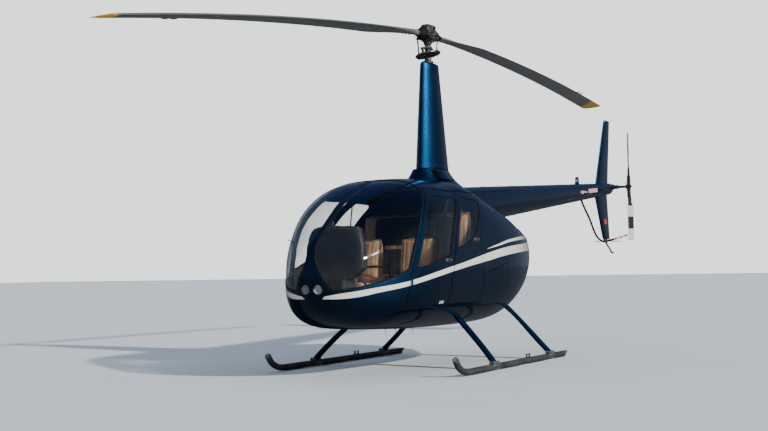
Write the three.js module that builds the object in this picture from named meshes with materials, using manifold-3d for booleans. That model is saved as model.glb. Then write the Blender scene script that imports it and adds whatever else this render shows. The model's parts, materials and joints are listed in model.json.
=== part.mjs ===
// A five-seat light turbine helicopter with skids, a two-blade rotor on a tall faired mast and
// a low tail rotor. Millimetres, +Z up, nose toward -Y, the pilot's left hand toward +X.
// Shapes are laid out from the mast's axis (y = 0) and the ground (z = 0), and the last group
// moves them along Y, so that the origin lies under the middle of the whole length.
import * as THREE from "three";
import { mergeVertices } from "three/addons/utils/BufferGeometryUtils.js";
import Module from "manifold-3d";

const wasm = await Module();
wasm.setup();

// Driving dimensions.
const ROTOR_RADIUS = 5030;
const BLADE_CHORD = 262;
const BLADE_THICKNESS = 30;
const HUB_HEIGHT = 3378;
const TAIL_ROTOR_RADIUS = 762;
const TAIL_ROTOR_CHORD = 128;
const TAIL_ROTOR_AXIS = { x: 293, y: 5850, z: 2058 };
const GUARD_END_Y = 6650;
const CABIN_WALL = 34;
const GLASS_DEPTH = 6;
const GLASS_THICKNESS = 7;
const COWL_WALL = 22;
const TOUCH_GAP = 0.3;
const DOOR_GAP = 7;
const SKID_HALF_TREAD = 980;
const SKID_RADIUS = 30;
const SKID_SHOE = { lift: 3, height: 14, halfWidth: 17, yFrom: -1240, yTo: 1190 };
const ROOF_SPLIT_Z = 1712;
const MAST_OFFSET_Y = (ROTOR_RADIUS - GUARD_END_Y) / 2;
// Places well past the body's sides, nose, stern, top and belly, where cutting blocks end.
const PAST = { side: 1000, nose: -3000, stern: 3000, top: 2000, belly: 200 };

// Colours and finishes.
const PAINT = { color: 0x0b1d44, roughness: 0.25, metalness: 0.4 };
const GLASS = { color: 0x2c3338, roughness: 0.05, metalness: 0.0, transparent: true, opacity: 0.45 };
const BLACK = { color: 0x17181a, roughness: 0.6, metalness: 0.1 };
const BLADE_GREY = { color: 0x2b2d30, roughness: 0.5, metalness: 0.2 };
const STEEL = { color: 0x8b8f94, roughness: 0.35, metalness: 0.9 };
const LEATHER = { color: 0xb08a5c, roughness: 0.6, metalness: 0.0 };
const LAMP = { color: 0xe8eef2, roughness: 0.1, metalness: 0.3 };
const BEACON_RED = { color: 0xb01a12, roughness: 0.2, metalness: 0.0 };

const aircraft = new THREE.Group();

function addNode(name, geometry, finish) {
  geometry.computeVertexNormals();
  const mesh = new THREE.Mesh(geometry, new THREE.MeshStandardMaterial(finish));
  mesh.name = name;
  aircraft.add(mesh);
  return mesh;
}

function solidOf(geometry) {
  const bare = geometry.clone();
  bare.deleteAttribute("normal");
  bare.deleteAttribute("uv");
  const merged = mergeVertices(bare, 1e-3);
  return new wasm.Manifold(new wasm.Mesh({
    numProp: 3,
    vertProperties: new Float32Array(merged.attributes.position.array),
    triVerts: new Uint32Array(merged.index.array),
  }));
}

function geometryOf(solid) {
  const mesh = solid.getMesh();
  const geometry = new THREE.BufferGeometry();
  geometry.setAttribute("position", new THREE.BufferAttribute(new Float32Array(mesh.vertProperties), 3));
  geometry.setIndex(new THREE.BufferAttribute(new Uint32Array(mesh.triVerts), 1));
  return geometry;
}

function joined(...geometries) {
  return geometryOf(geometries.map(solidOf).reduce((sum, next) => sum.add(next)));
}

function mirrored(geometry) {
  const copy = geometry.clone();
  copy.deleteAttribute("normal");
  copy.scale(-1, 1, 1);
  const index = copy.index.array.slice();
  for (let i = 0; i < index.length; i += 3) {
    [index[i], index[i + 1]] = [index[i + 1], index[i]];
  }
  copy.setIndex(new THREE.BufferAttribute(index, 1));
  return copy;
}

// A closed skin through rings of equal count, with a fan at each end.
function loft(rings, capFaces = null) {
  const count = rings[0].length;
  const points = rings.flat();
  const faces = [];
  for (let r = 0; r + 1 < rings.length; r += 1) {
    for (let i = 0; i < count; i += 1) {
      const a = r * count + i;
      const b = r * count + (i + 1) % count;
      faces.push(a, b, b + count, a, b + count, a + count);
    }
  }
  for (const [ring, flip] of [[0, false], [rings.length - 1, true]]) {
    if (capFaces) {
      for (const [a, b, c] of capFaces) {
        const corner = [a, b, c].map((v) => ring * count + v);
        faces.push(...(flip ? corner : corner.reverse()));
      }
      continue;
    }
    const middle = rings[ring].reduce((sum, p) => sum.add(p), new THREE.Vector3()).divideScalar(count);
    points.push(middle);
    for (let i = 0; i < count; i += 1) {
      const a = ring * count + i;
      const b = ring * count + (i + 1) % count;
      faces.push(...(flip ? [a, b, points.length - 1] : [b, a, points.length - 1]));
    }
  }
  const geometry = new THREE.BufferGeometry().setFromPoints(points);
  geometry.setIndex(faces);
  if (signedVolume(geometry) < 0) {
    geometry.setIndex(faces.map((v, i) => faces[i - (i % 3) + (2 - (i % 3))]));
  }
  return geometry;
}

function signedVolume(geometry) {
  const at = geometry.attributes.position;
  const index = geometry.index.array;
  const [a, b, c] = [new THREE.Vector3(), new THREE.Vector3(), new THREE.Vector3()];
  let sum = 0;
  for (let i = 0; i < index.length; i += 3) {
    a.fromBufferAttribute(at, index[i]);
    b.fromBufferAttribute(at, index[i + 1]);
    c.fromBufferAttribute(at, index[i + 2]);
    sum += a.dot(b.cross(c));
  }
  return sum;
}

// A block with a flat outline (a, z) at two depths, which place puts where it stands.
function prism(outline, depths, place) {
  const flat = (corners) => corners.map(([a, z]) => new THREE.Vector2(a, z));
  const corners = THREE.ShapeUtils.area(flat(outline)) > 0 ? outline : [...outline].reverse();
  const caps = THREE.ShapeUtils.triangulateShape(flat(corners), []);
  return loft(depths.map((depth) => corners.map((corner) => place(corner, depth))), caps);
}

// A block whose outline is given in the side view (y, z), between two places on X.
// Each corner may lean by its own amount of y for each mm of x, measured from leanFrom.
function sideBlock(outline, xFrom, xTo, leanFrom = 0) {
  return prism(outline, [xFrom, xTo], ([y, z, lean = 0], x) =>
    new THREE.Vector3(x, y + lean * (x - leanFrom), z));
}

// A block whose outline is given in the front view (x, z), between two places on Y.
function frontBlock(outline, yFrom, yTo) {
  return prism(outline, [yFrom, yTo], ([x, z], y) => new THREE.Vector3(x, y, z));
}

// A block with a level rectangle at each height: z, half width, front y, rear y, middle x.
function stack(rows) {
  return loft(rows.map(([z, half, front, rear, middle = 0]) =>
    [[-half, front], [half, front], [half, rear], [-half, rear]].map(([x, y]) =>
      new THREE.Vector3(middle + x, y, z))));
}

// Moves every side of a convex or gently concave outline outward by the same distance.
function grown(corners, distance) {
  const area = corners.reduce((sum, [y, z], i) => {
    const [y2, z2] = corners[(i + 1) % corners.length];
    return sum + y * z2 - y2 * z;
  }, 0);
  const side = area > 0 ? 1 : -1;
  return corners.map(([y, z, lean], i) => {
    const [y0, z0] = corners[(i + corners.length - 1) % corners.length];
    const [y2, z2] = corners[(i + 1) % corners.length];
    const before = new THREE.Vector2(z - z0, y0 - y).normalize().multiplyScalar(side);
    const after = new THREE.Vector2(z2 - z, y - y2).normalize().multiplyScalar(side);
    const middle = before.clone().add(after).normalize();
    const reach = distance / Math.max(0.4, middle.dot(after));
    return [y + middle.x * reach, z + middle.y * reach, lean];
  });
}

function box(x0, x1, y0, y1, z0, z1) {
  const geometry = new THREE.BoxGeometry(x1 - x0, y1 - y0, z1 - z0);
  geometry.translate((x0 + x1) / 2, (y0 + y1) / 2, (z0 + z1) / 2);
  return geometry;
}

// A round or oval bar between two points.
function bar(from, to, radius, sides = 10, flat = 1) {
  const start = new THREE.Vector3(...from);
  const along = new THREE.Vector3(...to).sub(start);
  const geometry = new THREE.CylinderGeometry(radius, radius, along.length(), sides);
  geometry.scale(1, 1, flat);
  geometry.translate(0, along.length() / 2, 0);
  geometry.applyQuaternion(new THREE.Quaternion().setFromUnitVectors(
    new THREE.Vector3(0, 1, 0), along.clone().normalize()));
  geometry.translate(...from);
  return geometry;
}

function tubeAlong(points, radius, sides, steps, tension = 0.5) {
  const curve = new THREE.CatmullRomCurve3(points.map((p) => new THREE.Vector3(...p)), false,
    "catmullrom", tension);
  const circle = new THREE.Shape(new THREE.EllipseCurve(0, 0, radius, radius).getPoints(sides).slice(0, -1));
  return new THREE.ExtrudeGeometry(circle, { steps, bevelEnabled: false, extrudePath: curve });
}

// The body's sections from the nose to the stern.
// y, lowest z, highest z, half width, z of the widest place, top squareness, bottom squareness
const BODY_SECTIONS = [
  [-2420, 860, 1000, 60, 930, 2.0, 2.0],
  [-2395, 765, 1125, 150, 930, 2.0, 2.0],
  [-2340, 668, 1215, 232, 928, 2.0, 2.1],
  [-2240, 570, 1292, 340, 922, 2.05, 2.3],
  [-2080, 488, 1414, 462, 915, 2.15, 2.7],
  [-1880, 440, 1559, 582, 915, 2.4, 3.0],
  [-1650, 424, 1677, 672, 940, 2.8, 3.0],
  [-1380, 412, 1778, 722, 970, 3.0, 2.95],
  [-1050, 400, 1826, 735, 985, 2.95, 2.9],
  [-600, 390, 1843, 736, 990, 2.85, 2.9],
  [-200, 387, 1845, 737, 992, 2.85, 2.85],
  [250, 388, 1722, 735, 998, 2.9, 2.7],
  [700, 405, 1590, 690, 1015, 3.1, 2.5],
  [1100, 490, 1500, 595, 1020, 3.1, 2.4],
  [1450, 603, 1437, 488, 1040, 3.0, 2.3],
  [1720, 754, 1382, 390, 1090, 2.9, 2.25],
  [1890, 908, 1334, 282, 1137, 2.7, 2.2],
  [1960, 1038, 1292, 170, 1165, 2.3, 2.2],
];
const RING_POINTS = 28;

function sectionRing([y, low, high, half, widest, top, bottom], inset) {
  const ring = [];
  for (let i = 0; i < RING_POINTS; i += 1) {
    const turn = (i / RING_POINTS) * 2 * Math.PI;
    const [c, s] = [Math.cos(turn), Math.sin(turn)];
    const power = 2 / (s >= 0 ? top : bottom);
    const reach = s >= 0 ? high - widest - inset : widest - low - inset;
    ring.push(new THREE.Vector3(
      Math.sign(c) * (half - inset) * Math.abs(c) ** power,
      y,
      widest + Math.sign(s) * reach * Math.abs(s) ** power));
  }
  return ring;
}

function bodyLoft(inset, yFrom = PAST.nose, yTo = PAST.stern) {
  const rows = BODY_SECTIONS.filter(([y]) => y >= yFrom && y <= yTo);
  return loft(rows.map((row) => sectionRing(row, inset)));
}

function foilRing(chord, leading, thickness, place, count = 20) {
  const ring = [];
  for (let i = 0; i < count; i += 1) {
    const turn = (i / count) * 2 * Math.PI;
    const along = (1 - Math.cos(turn)) / 2;
    const half = thickness * 1.45 * Math.sqrt(along) * (1 - along) + thickness * 0.04;
    ring.push(place(leading + chord * along, Math.sign(Math.sin(turn)) * (i % (count / 2) ? half : 0)));
  }
  return ring;
}

// The landing gear's cross tubes run through the belly, and their faired legs come out of it.
const LEG_FOOT_Z = 2 * SKID_RADIUS + SKID_SHOE.lift + 17;
const LEG_CHORD = 118;
const LEG_THICKNESS = 44;
const LEG_AHEAD = 0.42;
const LEG_HOLE_GAP = 5;
// For each leg, from the skid up: x, y, z, and how far its section is turned about Y.
const CROSS_TUBES = {
  front: { tubeY: -585, tubeZ: 530, leg: [
    [SKID_HALF_TREAD - 10, -712, LEG_FOOT_Z, 0.78],
    [622, -610, 425, 0.78],
    [560, -592, 482, 1.0],
    [505, -585, 515, 1.3],
    [420, -585, 530, 1.5],
  ] },
  rear: { tubeY: 812, tubeZ: 590, leg: [
    [SKID_HALF_TREAD - 10, 752, LEG_FOOT_Z, 0.78],
    [460, 806, 560, 0.78],
    [420, 812, 590, 1.2],
  ] },
};

function gearLeg({ leg }, side, extra = 0) {
  const [chord, thickness] = [LEG_CHORD + 2 * extra, LEG_THICKNESS + 2 * extra];
  return loft(leg.map(([x, y, z, turn]) =>
    foilRing(chord, y - LEG_CHORD * LEG_AHEAD - extra, thickness, (along, flat) =>
      new THREE.Vector3(side * (x + flat * Math.cos(turn)), along, z + flat * Math.sin(turn)), 14)));
}

const legHoles = Object.values(CROSS_TUBES).flatMap((tube) => [1, -1].map((side) =>
  solidOf(gearLeg(tube, side, LEG_HOLE_GAP)))).reduce((sum, next) => sum.add(next));
for (const [name, tube] of Object.entries(CROSS_TUBES)) {
  const reach = tube.leg.at(-1)[0] + 5;
  const middle = bar([-reach, tube.tubeY, tube.tubeZ], [reach, tube.tubeY, tube.tubeZ], 19, 12);
  addNode(`landing_gear_${name}`, joined(gearLeg(tube, 1), middle, gearLeg(tube, -1)), PAINT);
}

// Each inner skin starts behind the nose, as far back as it is deep.
const CABIN_FRONT_Y = -2360;
const bodyOuter = solidOf(bodyLoft(0));
const bodyClear = solidOf(bodyLoft(-TOUCH_GAP));
const cabinInner = solidOf(bodyLoft(CABIN_WALL, CABIN_FRONT_Y));
const glassOuter = solidOf(bodyLoft(GLASS_DEPTH, -2410));
const glassInner = solidOf(bodyLoft(GLASS_DEPTH + GLASS_THICKNESS, -2410));
const cowlInner = solidOf(bodyLoft(COWL_WALL, -900, 1900));

// Outlines in the side view: y, z, lean (see sideBlock).
const FRONT_DOOR = [
  [-1770, 640, 0],
  [-1752, 870, 0],
  [-1724, 985, 0],
  [-1645, 1180, 0],
  [-1562, 1335, 0],
  [-1455, 1485, 0],
  [-1235, 1705, 0],
  [-608, 1705, 0.15],
  [-716, 1600, 0.13],
  [-942, 1352, 0.1],
  [-1030, 1142, 0.08],
  [-1062, 970, 0.08],
  [-1105, 870, 0.12],
  [-1122, 640, 0.16],
];
const REAR_DOOR = [
  [-1092, 640, 0],
  [-1075, 870, 0],
  [-1032, 970, 0],
  [-1000, 1142, 0],
  [-912, 1352, 0],
  [-686, 1600, 0],
  [-578, 1705, 0],
  [-90, 1705, 0.3],
  [-150, 1590, 0.25],
  [-385, 1350, 0.2],
  [-440, 1240, 0.2],
  [-440, 640, 0.32],
];
const FRONT_WINDOW = [
  [-1676, 972],
  [-1586, 1188],
  [-1507, 1338],
  [-1420, 1485],
  [-1250, 1648],
  [-690, 1652],
  [-875, 1469],
  [-980, 1346],
  [-1066, 1190],
  [-1095, 1086],
  [-1320, 1042],
  [-1560, 988],
];
const REAR_WINDOW = [
  [-948, 1142],
  [-877, 1352],
  [-640, 1610],
  [-580, 1650],
  [-240, 1640],
  [-200, 1600],
  [-358, 1430],
  [-432, 1350],
  [-530, 1270],
  [-650, 1212],
];
const BAGGAGE_DOOR = [
  [-330, 600, 0],
  [-330, 905, 0],
  [215, 1010, 0.24],
  [215, 600, 0.36],
];
const WINDSHIELD = [
  [PAST.nose, 790],
  [-2322, 790],
  [-2202, 815],
  [-2082, 847],
  [-1863, 917],
  [-1755, 972],
  [-1672, 1188],
  [-1590, 1337],
  [-1486, 1484],
  [-1262, 1705],
  [-1165, 1900],
  [PAST.nose, 1900],
];
const CABIN_END = [
  [-345, 300],
  [-345, 1240],
  [-290, 1375],
  [-40, 1640],
  [-10, ROOF_SPLIT_Z],
  [-10, PAST.top],
];
// The louvred outlets in the cowling's upper corners, beside the tail cone.
const GRILLE = [
  [1150, 1330],
  [1150, 1420],
  [1830, 1330],
  [1830, 1225],
];
// Outlines in the front view: x, z.
const NOSE_CAP = [
  [-190, 780],
  [-128, 872],
  [128, 872],
  [190, 780],
];
// z, half width of the windshield's middle bow, which widens to the nose
const BOW_WIDTHS = [
  [872 + TOUCH_GAP, 128],
  [940, 95],
  [1000, 62],
  [1050, 42],
  [1157, 26],
  [1240, 18],
  [PAST.top, 18],
];
// Side cuts run from inside the cabin to past its skin, and lean about the doors' surface.
const SIDE_CUT = { from: 300, leanFrom: 640 };

function sidesOfCut(corners, distance = 0) {
  const cut = sideBlock(grown(corners, distance), SIDE_CUT.from, PAST.side, SIDE_CUT.leanFrom);
  return { left: solidOf(cut), right: solidOf(mirrored(cut)) };
}

const acrossBody = (outline) => solidOf(sideBlock(outline, -PAST.side, PAST.side));
const cabinRegion = acrossBody([[PAST.nose, PAST.belly], [PAST.nose, PAST.top],
  ...CABIN_END.slice().reverse()]);
const behindCabin = (shift) => acrossBody([...CABIN_END.map(([y, z]) => [y + shift, z]),
  [PAST.stern, PAST.top], [PAST.stern, PAST.belly]]);
const NOSE_CAP_END_Y = -2250;
const noseCap = solidOf(frontBlock(NOSE_CAP, PAST.nose, NOSE_CAP_END_Y));
const noseCapClear = solidOf(frontBlock(grown(NOSE_CAP, TOUCH_GAP), PAST.nose, NOSE_CAP_END_Y));
const windshieldRegion = acrossBody(WINDSHIELD).subtract(noseCapClear);
const windshieldCut = acrossBody(grown(WINDSHIELD, TOUCH_GAP)).subtract(noseCap);
const ROOF_FROM_Y = -1400;
const roofRegion = solidOf(box(-PAST.side, PAST.side, ROOF_FROM_Y, CABIN_END.at(-1)[0] - TOUCH_GAP,
  ROOF_SPLIT_Z, PAST.top));

const cabinHollow = cabinInner.subtract(behindCabin(-CABIN_WALL));
const cabinSkin = bodyOuter.subtract(cabinHollow).intersect(cabinRegion);

let tub = cabinSkin.subtract(windshieldCut).subtract(
  solidOf(box(-PAST.side, PAST.side, ROOF_FROM_Y, 0, ROOF_SPLIT_Z - TOUCH_GAP, PAST.top)));
for (const corners of [FRONT_DOOR, REAR_DOOR]) {
  const cut = sidesOfCut(corners, DOOR_GAP);
  tub = tub.subtract(cut.left).subtract(cut.right);
}
// Two round landing lights, on a bar that joins them behind the skin.
const LAMPS = { x: 62, z: 805, yFrom: -2402, yTo: -2290, radius: 46 };
const LAMP_BAR = { yFrom: -2350, yTo: -2310, half: 25 };

function lampPair(extra) {
  const lamp = (x) => bar([x, LAMPS.yFrom, LAMPS.z], [x, LAMPS.yTo + extra, LAMPS.z],
    LAMPS.radius + extra, 16);
  return joined(lamp(-LAMPS.x), lamp(LAMPS.x),
    box(-LAMPS.x, LAMPS.x, LAMP_BAR.yFrom - extra, LAMP_BAR.yTo + extra,
      LAMPS.z - LAMP_BAR.half - extra, LAMPS.z + LAMP_BAR.half + extra));
}

addNode("cabin_shell", geometryOf(tub.subtract(legHoles).subtract(solidOf(lampPair(1)))), PAINT);
addNode("landing_lights", lampPair(0), LAMP);
addNode("cabin_roof", geometryOf(cabinSkin.intersect(roofRegion).subtract(windshieldCut)), PAINT);

// The windshield: a bow on the middle line and one curved pane to each side.
const bowOutline = (extra) => [
  ...BOW_WIDTHS.map(([z, half]) => [half + extra, z]),
  ...BOW_WIDTHS.slice().reverse().map(([z, half]) => [-half - extra, z]),
];
addNode("windshield_bow", geometryOf(cabinSkin.intersect(windshieldRegion)
  .intersect(solidOf(frontBlock(bowOutline(0), PAST.nose, 0)))), PAINT);
const glassSkin = glassOuter.subtract(glassInner);
const bowClear = solidOf(frontBlock(bowOutline(TOUCH_GAP), PAST.nose, 0));
const leftHalf = solidOf(box(0, PAST.side, PAST.nose, 0, PAST.belly, PAST.top));
const pane = geometryOf(glassSkin.intersect(windshieldRegion).subtract(bowClear).intersect(leftHalf));
addNode("windshield_left", pane, GLASS);
addNode("windshield_right", mirrored(pane), GLASS);

for (const [name, corners, windowCorners] of [
  ["front", FRONT_DOOR, FRONT_WINDOW],
  ["rear", REAR_DOOR, REAR_WINDOW],
]) {
  const doorCut = sidesOfCut(corners).left;
  const windowCut = sidesOfCut(windowCorners, TOUCH_GAP).left;
  const windowPane = sidesOfCut(windowCorners).left;
  const door = geometryOf(cabinSkin.intersect(doorCut).subtract(windowCut));
  const glass = geometryOf(glassSkin.intersect(windowPane));
  addNode(`door_${name}_left`, door, PAINT);
  addNode(`door_${name}_right`, mirrored(door), PAINT);
  addNode(`window_${name}_left`, glass, GLASS);
  addNode(`window_${name}_right`, mirrored(glass), GLASS);
}

// The engine cowling behind the cabin, with the baggage door in its left side, the louvred
// outlets beside the tail cone and an opening in the belly for the exhaust.
const OUTLET = { half: 150, yFrom: 1350, yTo: 1700 };
const outlet = solidOf(box(-OUTLET.half, OUTLET.half, OUTLET.yFrom, OUTLET.yTo, PAST.belly, 950));
const cowlSkin = bodyOuter.subtract(cowlInner).intersect(behindCabin(TOUCH_GAP));
const baggageCut = sidesOfCut(BAGGAGE_DOOR, DOOR_GAP).left;
const GRILLE_FROM_X = 60;
const grilleCut = sideBlock(grown(GRILLE, TOUCH_GAP), GRILLE_FROM_X, PAST.side);
// The slots between the louvres follow the grille's upper edge, which falls toward the stern.
const LOUVRES = { count: 7, from: 1200, step: 84, width: 42, height: 55, fall: 0.147, topZ: 1388, edge: 30 };
const louvreSlots = Array.from({ length: LOUVRES.count }, (_, i) => {
  const top = LOUVRES.topZ - i * LOUVRES.step * LOUVRES.fall;
  const y = LOUVRES.from + i * LOUVRES.step;
  return solidOf(box(GRILLE_FROM_X + LOUVRES.edge, PAST.side, y, y + LOUVRES.width,
    top - LOUVRES.height, top));
}).reduce((sum, next) => sum.add(next));
const grille = geometryOf(cowlSkin.intersect(solidOf(sideBlock(GRILLE, GRILLE_FROM_X, PAST.side)))
  .subtract(louvreSlots));
addNode("engine_cowling", geometryOf(cowlSkin.subtract(baggageCut).subtract(outlet).subtract(legHoles)
  .subtract(solidOf(grilleCut)).subtract(solidOf(mirrored(grilleCut)))), PAINT);
addNode("door_baggage", geometryOf(cowlSkin.intersect(sidesOfCut(BAGGAGE_DOOR).left)), PAINT);
addNode("cowl_grille_left", grille, BLACK);
addNode("cowl_grille_right", mirrored(grille), BLACK);
addNode("engine_block", box(-230, 230, 400, 1250, 700, 1180), STEEL);

// The mast: a collar on the roof, a tapered fairing, and the tube's end above it.
const FAIRING_TOP_Z = 3085;
// z, chord, y of the leading edge, thickness
const FAIRING_SECTIONS = [
  [1985, 640, -230, 225],
  [FAIRING_TOP_Z, 350, -125, 128],
];
const COLLAR_SECTIONS = [
  [1800, 1000, -330, 520],
  [1880, 860, -300, 360],
  [1975, 690, -255, 255],
];

const upright = (rows) => loft(rows.map(([z, chord, leading, thickness]) =>
  foilRing(chord, leading, thickness, (y, x) => new THREE.Vector3(x, y, z))));
addNode("mast_fairing", upright(FAIRING_SECTIONS), PAINT);
addNode("mast_collar", geometryOf(solidOf(upright(COLLAR_SECTIONS)).subtract(bodyClear)), PAINT);
const MAST_TUBE = { height: 18, radius: 50 };
addNode("mast_tube", bar([0, 0, FAIRING_TOP_Z + TOUCH_GAP], [0, 0, FAIRING_TOP_Z + MAST_TUBE.height],
  MAST_TUBE.radius, 16), BLACK);

// The tail: a slim cone, two fins, a fixed stabiliser, the gearbox, its rotor, guard and skid.
const TAIL_FRONT = { y: 560, z: 1605, radius: 215 };
const TAIL_END = { y: 5790, z: 2033, radius: 82 };

function tailRing({ y, z, radius }, extra) {
  const ring = [];
  for (let i = 0; i < 24; i += 1) {
    const turn = (i / 24) * 2 * Math.PI;
    ring.push(new THREE.Vector3((radius + extra) * Math.cos(turn), y, z + (radius + extra) * Math.sin(turn)));
  }
  return ring;
}

const cone = loft([TAIL_FRONT, TAIL_END].map((end) => tailRing(end, 0)));
const coneClear = solidOf(loft([TAIL_FRONT, { ...TAIL_END, y: TAIL_END.y + 1 }].map((end) =>
  tailRing(end, TOUCH_GAP))));
const collarClear = solidOf(upright(COLLAR_SECTIONS.map(([z, chord, leading, thickness]) =>
  [z, chord + 2, leading - 1, thickness + 2]))).add(solidOf(upright(COLLAR_SECTIONS.map(
  ([z, chord, leading, thickness]) => [z - 1, chord + 2, leading - 1, thickness + 2]))));
addNode("tailcone", geometryOf(solidOf(cone).subtract(bodyClear).subtract(collarClear)), PAINT);

// z, chord, y of the leading edge, thickness
const UPPER_FIN = [
  [2030, 540, 5235, 46],
  [3010, 250, 5682, 30],
];
const LOWER_FIN = [
  [1318, 300, 5530, 34],
  [1990, 560, 5180, 46],
];
addNode("fin_upper", geometryOf(solidOf(upright(UPPER_FIN)).subtract(coneClear)), PAINT);
addNode("fin_lower", geometryOf(solidOf(upright(LOWER_FIN)).subtract(coneClear)), PAINT);
// x, chord, y of the leading edge
const STABILISER = [
  [-20, 340, 5110],
  [-900, 270, 5160],
];
const STABILISER_Z = 2010;
const stabiliser = loft(STABILISER.map(([x, chord, leading]) =>
  foilRing(chord, leading, 38, (y, z) => new THREE.Vector3(x, y, z + STABILISER_Z), 16)));
addNode("stabiliser", geometryOf(solidOf(stabiliser).subtract(coneClear)), PAINT);

// The gearbox closes the cone's end, with its output shaft's housing to the left.
const GEARBOX = { inside: 20, outside: 150, radius: 66, startZ: 2040 };
const OUTPUT = { length: TAIL_ROTOR_AXIS.x - 52, radius: 24 };
const aroundTailAxis = (x) => [x, TAIL_ROTOR_AXIS.y, TAIL_ROTOR_AXIS.z];
addNode("tail_gearbox", geometryOf(solidOf(joined(
  bar([0, TAIL_END.y - GEARBOX.inside, GEARBOX.startZ],
    [0, TAIL_END.y + GEARBOX.outside, TAIL_ROTOR_AXIS.z], GEARBOX.radius, 16),
  bar(aroundTailAxis(0), aroundTailAxis(OUTPUT.length), OUTPUT.radius, 12)))
  .subtract(coneClear).subtract(solidOf(upright(UPPER_FIN.map(([z, chord, leading, thick]) =>
    [z, chord + 2, leading - 1, thick + 2]))))), BLACK);

const TAIL_BLADE_ROOT = 95;
const TAIL_PITCH = 0.375;
const TAIL_HUB = { left: 40, right: 45, radius: 30, gripHalfX: 18, gripHalfY: 30 };
addNode("tail_rotor_hub", joined(
  bar(aroundTailAxis(TAIL_ROTOR_AXIS.x - TAIL_HUB.right), aroundTailAxis(TAIL_ROTOR_AXIS.x + TAIL_HUB.left),
    TAIL_HUB.radius, 14),
  box(TAIL_ROTOR_AXIS.x - TAIL_HUB.gripHalfX, TAIL_ROTOR_AXIS.x + TAIL_HUB.gripHalfX,
    TAIL_ROTOR_AXIS.y - TAIL_HUB.gripHalfY, TAIL_ROTOR_AXIS.y + TAIL_HUB.gripHalfY,
    TAIL_ROTOR_AXIS.z - TAIL_BLADE_ROOT, TAIL_ROTOR_AXIS.z + TAIL_BLADE_ROOT)), BLACK);
// radius, chord, thickness
const TAIL_BLADE_SECTIONS = [
  [TAIL_BLADE_ROOT + TOUCH_GAP, 74, 30],
  [250, 80, 24],
  [278, TAIL_ROTOR_CHORD, 17],
  [TAIL_ROTOR_RADIUS, TAIL_ROTOR_CHORD, 17],
];
const TAIL_BLADE_AHEAD = 0.28;
for (const [name, way] of [["upper", 1], ["lower", -1]]) {
  const place = (radius) => (along, flat) => new THREE.Vector3(
    TAIL_ROTOR_AXIS.x + along * Math.sin(TAIL_PITCH) + flat * Math.cos(TAIL_PITCH),
    TAIL_ROTOR_AXIS.y - way * (along * Math.cos(TAIL_PITCH) - flat * Math.sin(TAIL_PITCH)),
    TAIL_ROTOR_AXIS.z + way * radius);
  addNode(`tail_rotor_blade_${name}`, loft(TAIL_BLADE_SECTIONS.map(([radius, chord, thickness]) =>
    foilRing(chord, -chord * TAIL_BLADE_AHEAD, thickness, place(radius), 14))), BLADE_GREY);
}

const GUARD_ROUTE = [
  [0, 4690, 1800],
  [0, 4960, 1600],
  [0, 5270, 1350],
  [0, 5480, 1290],
  [0, 5900, 1310],
  [0, GUARD_END_Y, 1385],
];
const lowerFinClear = solidOf(upright(LOWER_FIN.map(([z, chord, leading, thick], i) =>
  [i ? z : z - 1, chord + 2, leading - 1, thick + 2])));
const GUARD_RADIUS = 14;
addNode("tail_guard", geometryOf(solidOf(tubeAlong(GUARD_ROUTE, GUARD_RADIUS, 8, 24))
  .subtract(coneClear).subtract(lowerFinClear)), PAINT);
// The bent rod under the lower fin that keeps the tail off the ground.
const TAIL_SKID_ROUTE = [
  [0, 5650, 1290],
  [0, 5700, 1245],
  [0, 5790, 1200],
  [0, 5940, 1122],
  [0, 5985, 1128],
];
const TAIL_SKID_RADIUS = 12;
addNode("tail_skid", geometryOf(solidOf(tubeAlong(TAIL_SKID_ROUTE, TAIL_SKID_RADIUS, 8, 14))
  .subtract(solidOf(tubeAlong(GUARD_ROUTE, GUARD_RADIUS + TOUCH_GAP, 8, 24)))), BLACK);

// The landing gear: two skids with turned-up toes, joined by a cross tube with faired legs each.
const SKID_TUBE_Z = SKID_RADIUS + SKID_SHOE.lift;
const SKID_ROUTE = [
  [-1600, 172],
  [-1530, 95],
  [-1420, 46],
  [-1290, SKID_TUBE_Z],
  [-700, SKID_TUBE_Z],
  [700, SKID_TUBE_Z],
  [1225, SKID_TUBE_Z],
];
for (const [name, side] of [["left", 1], ["right", -1]]) {
  const middle = side * SKID_HALF_TREAD;
  addNode(`skid_${name}`, joined(
    tubeAlong(SKID_ROUTE.map(([y, z]) => [middle, y, z]), SKID_RADIUS, 12, 20),
    box(middle - SKID_SHOE.halfWidth, middle + SKID_SHOE.halfWidth, SKID_SHOE.yFrom, SKID_SHOE.yTo,
      0, SKID_SHOE.height)), BLACK);
}

// The main rotor: a hub with boots, two drooping blades with raked tips, and the swashplate's
// upper ring with its two pitch links, all turning together.
const ROTOR_TILT = 0.0356;
const ROTOR_CONE = 0.0377;
const BLADE_DROOP = 1.0e-5;
const BLADE_ROOT = 270;
const ROOT_PITCH = 0.13;
const BLADE_TWIST = -0.17;
const CYCLIC_PITCH = 0.018;
const bladeHeight = (way, radius) =>
  HUB_HEIGHT - (ROTOR_CONE + way * ROTOR_TILT) * radius - BLADE_DROOP * radius * radius;
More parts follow.
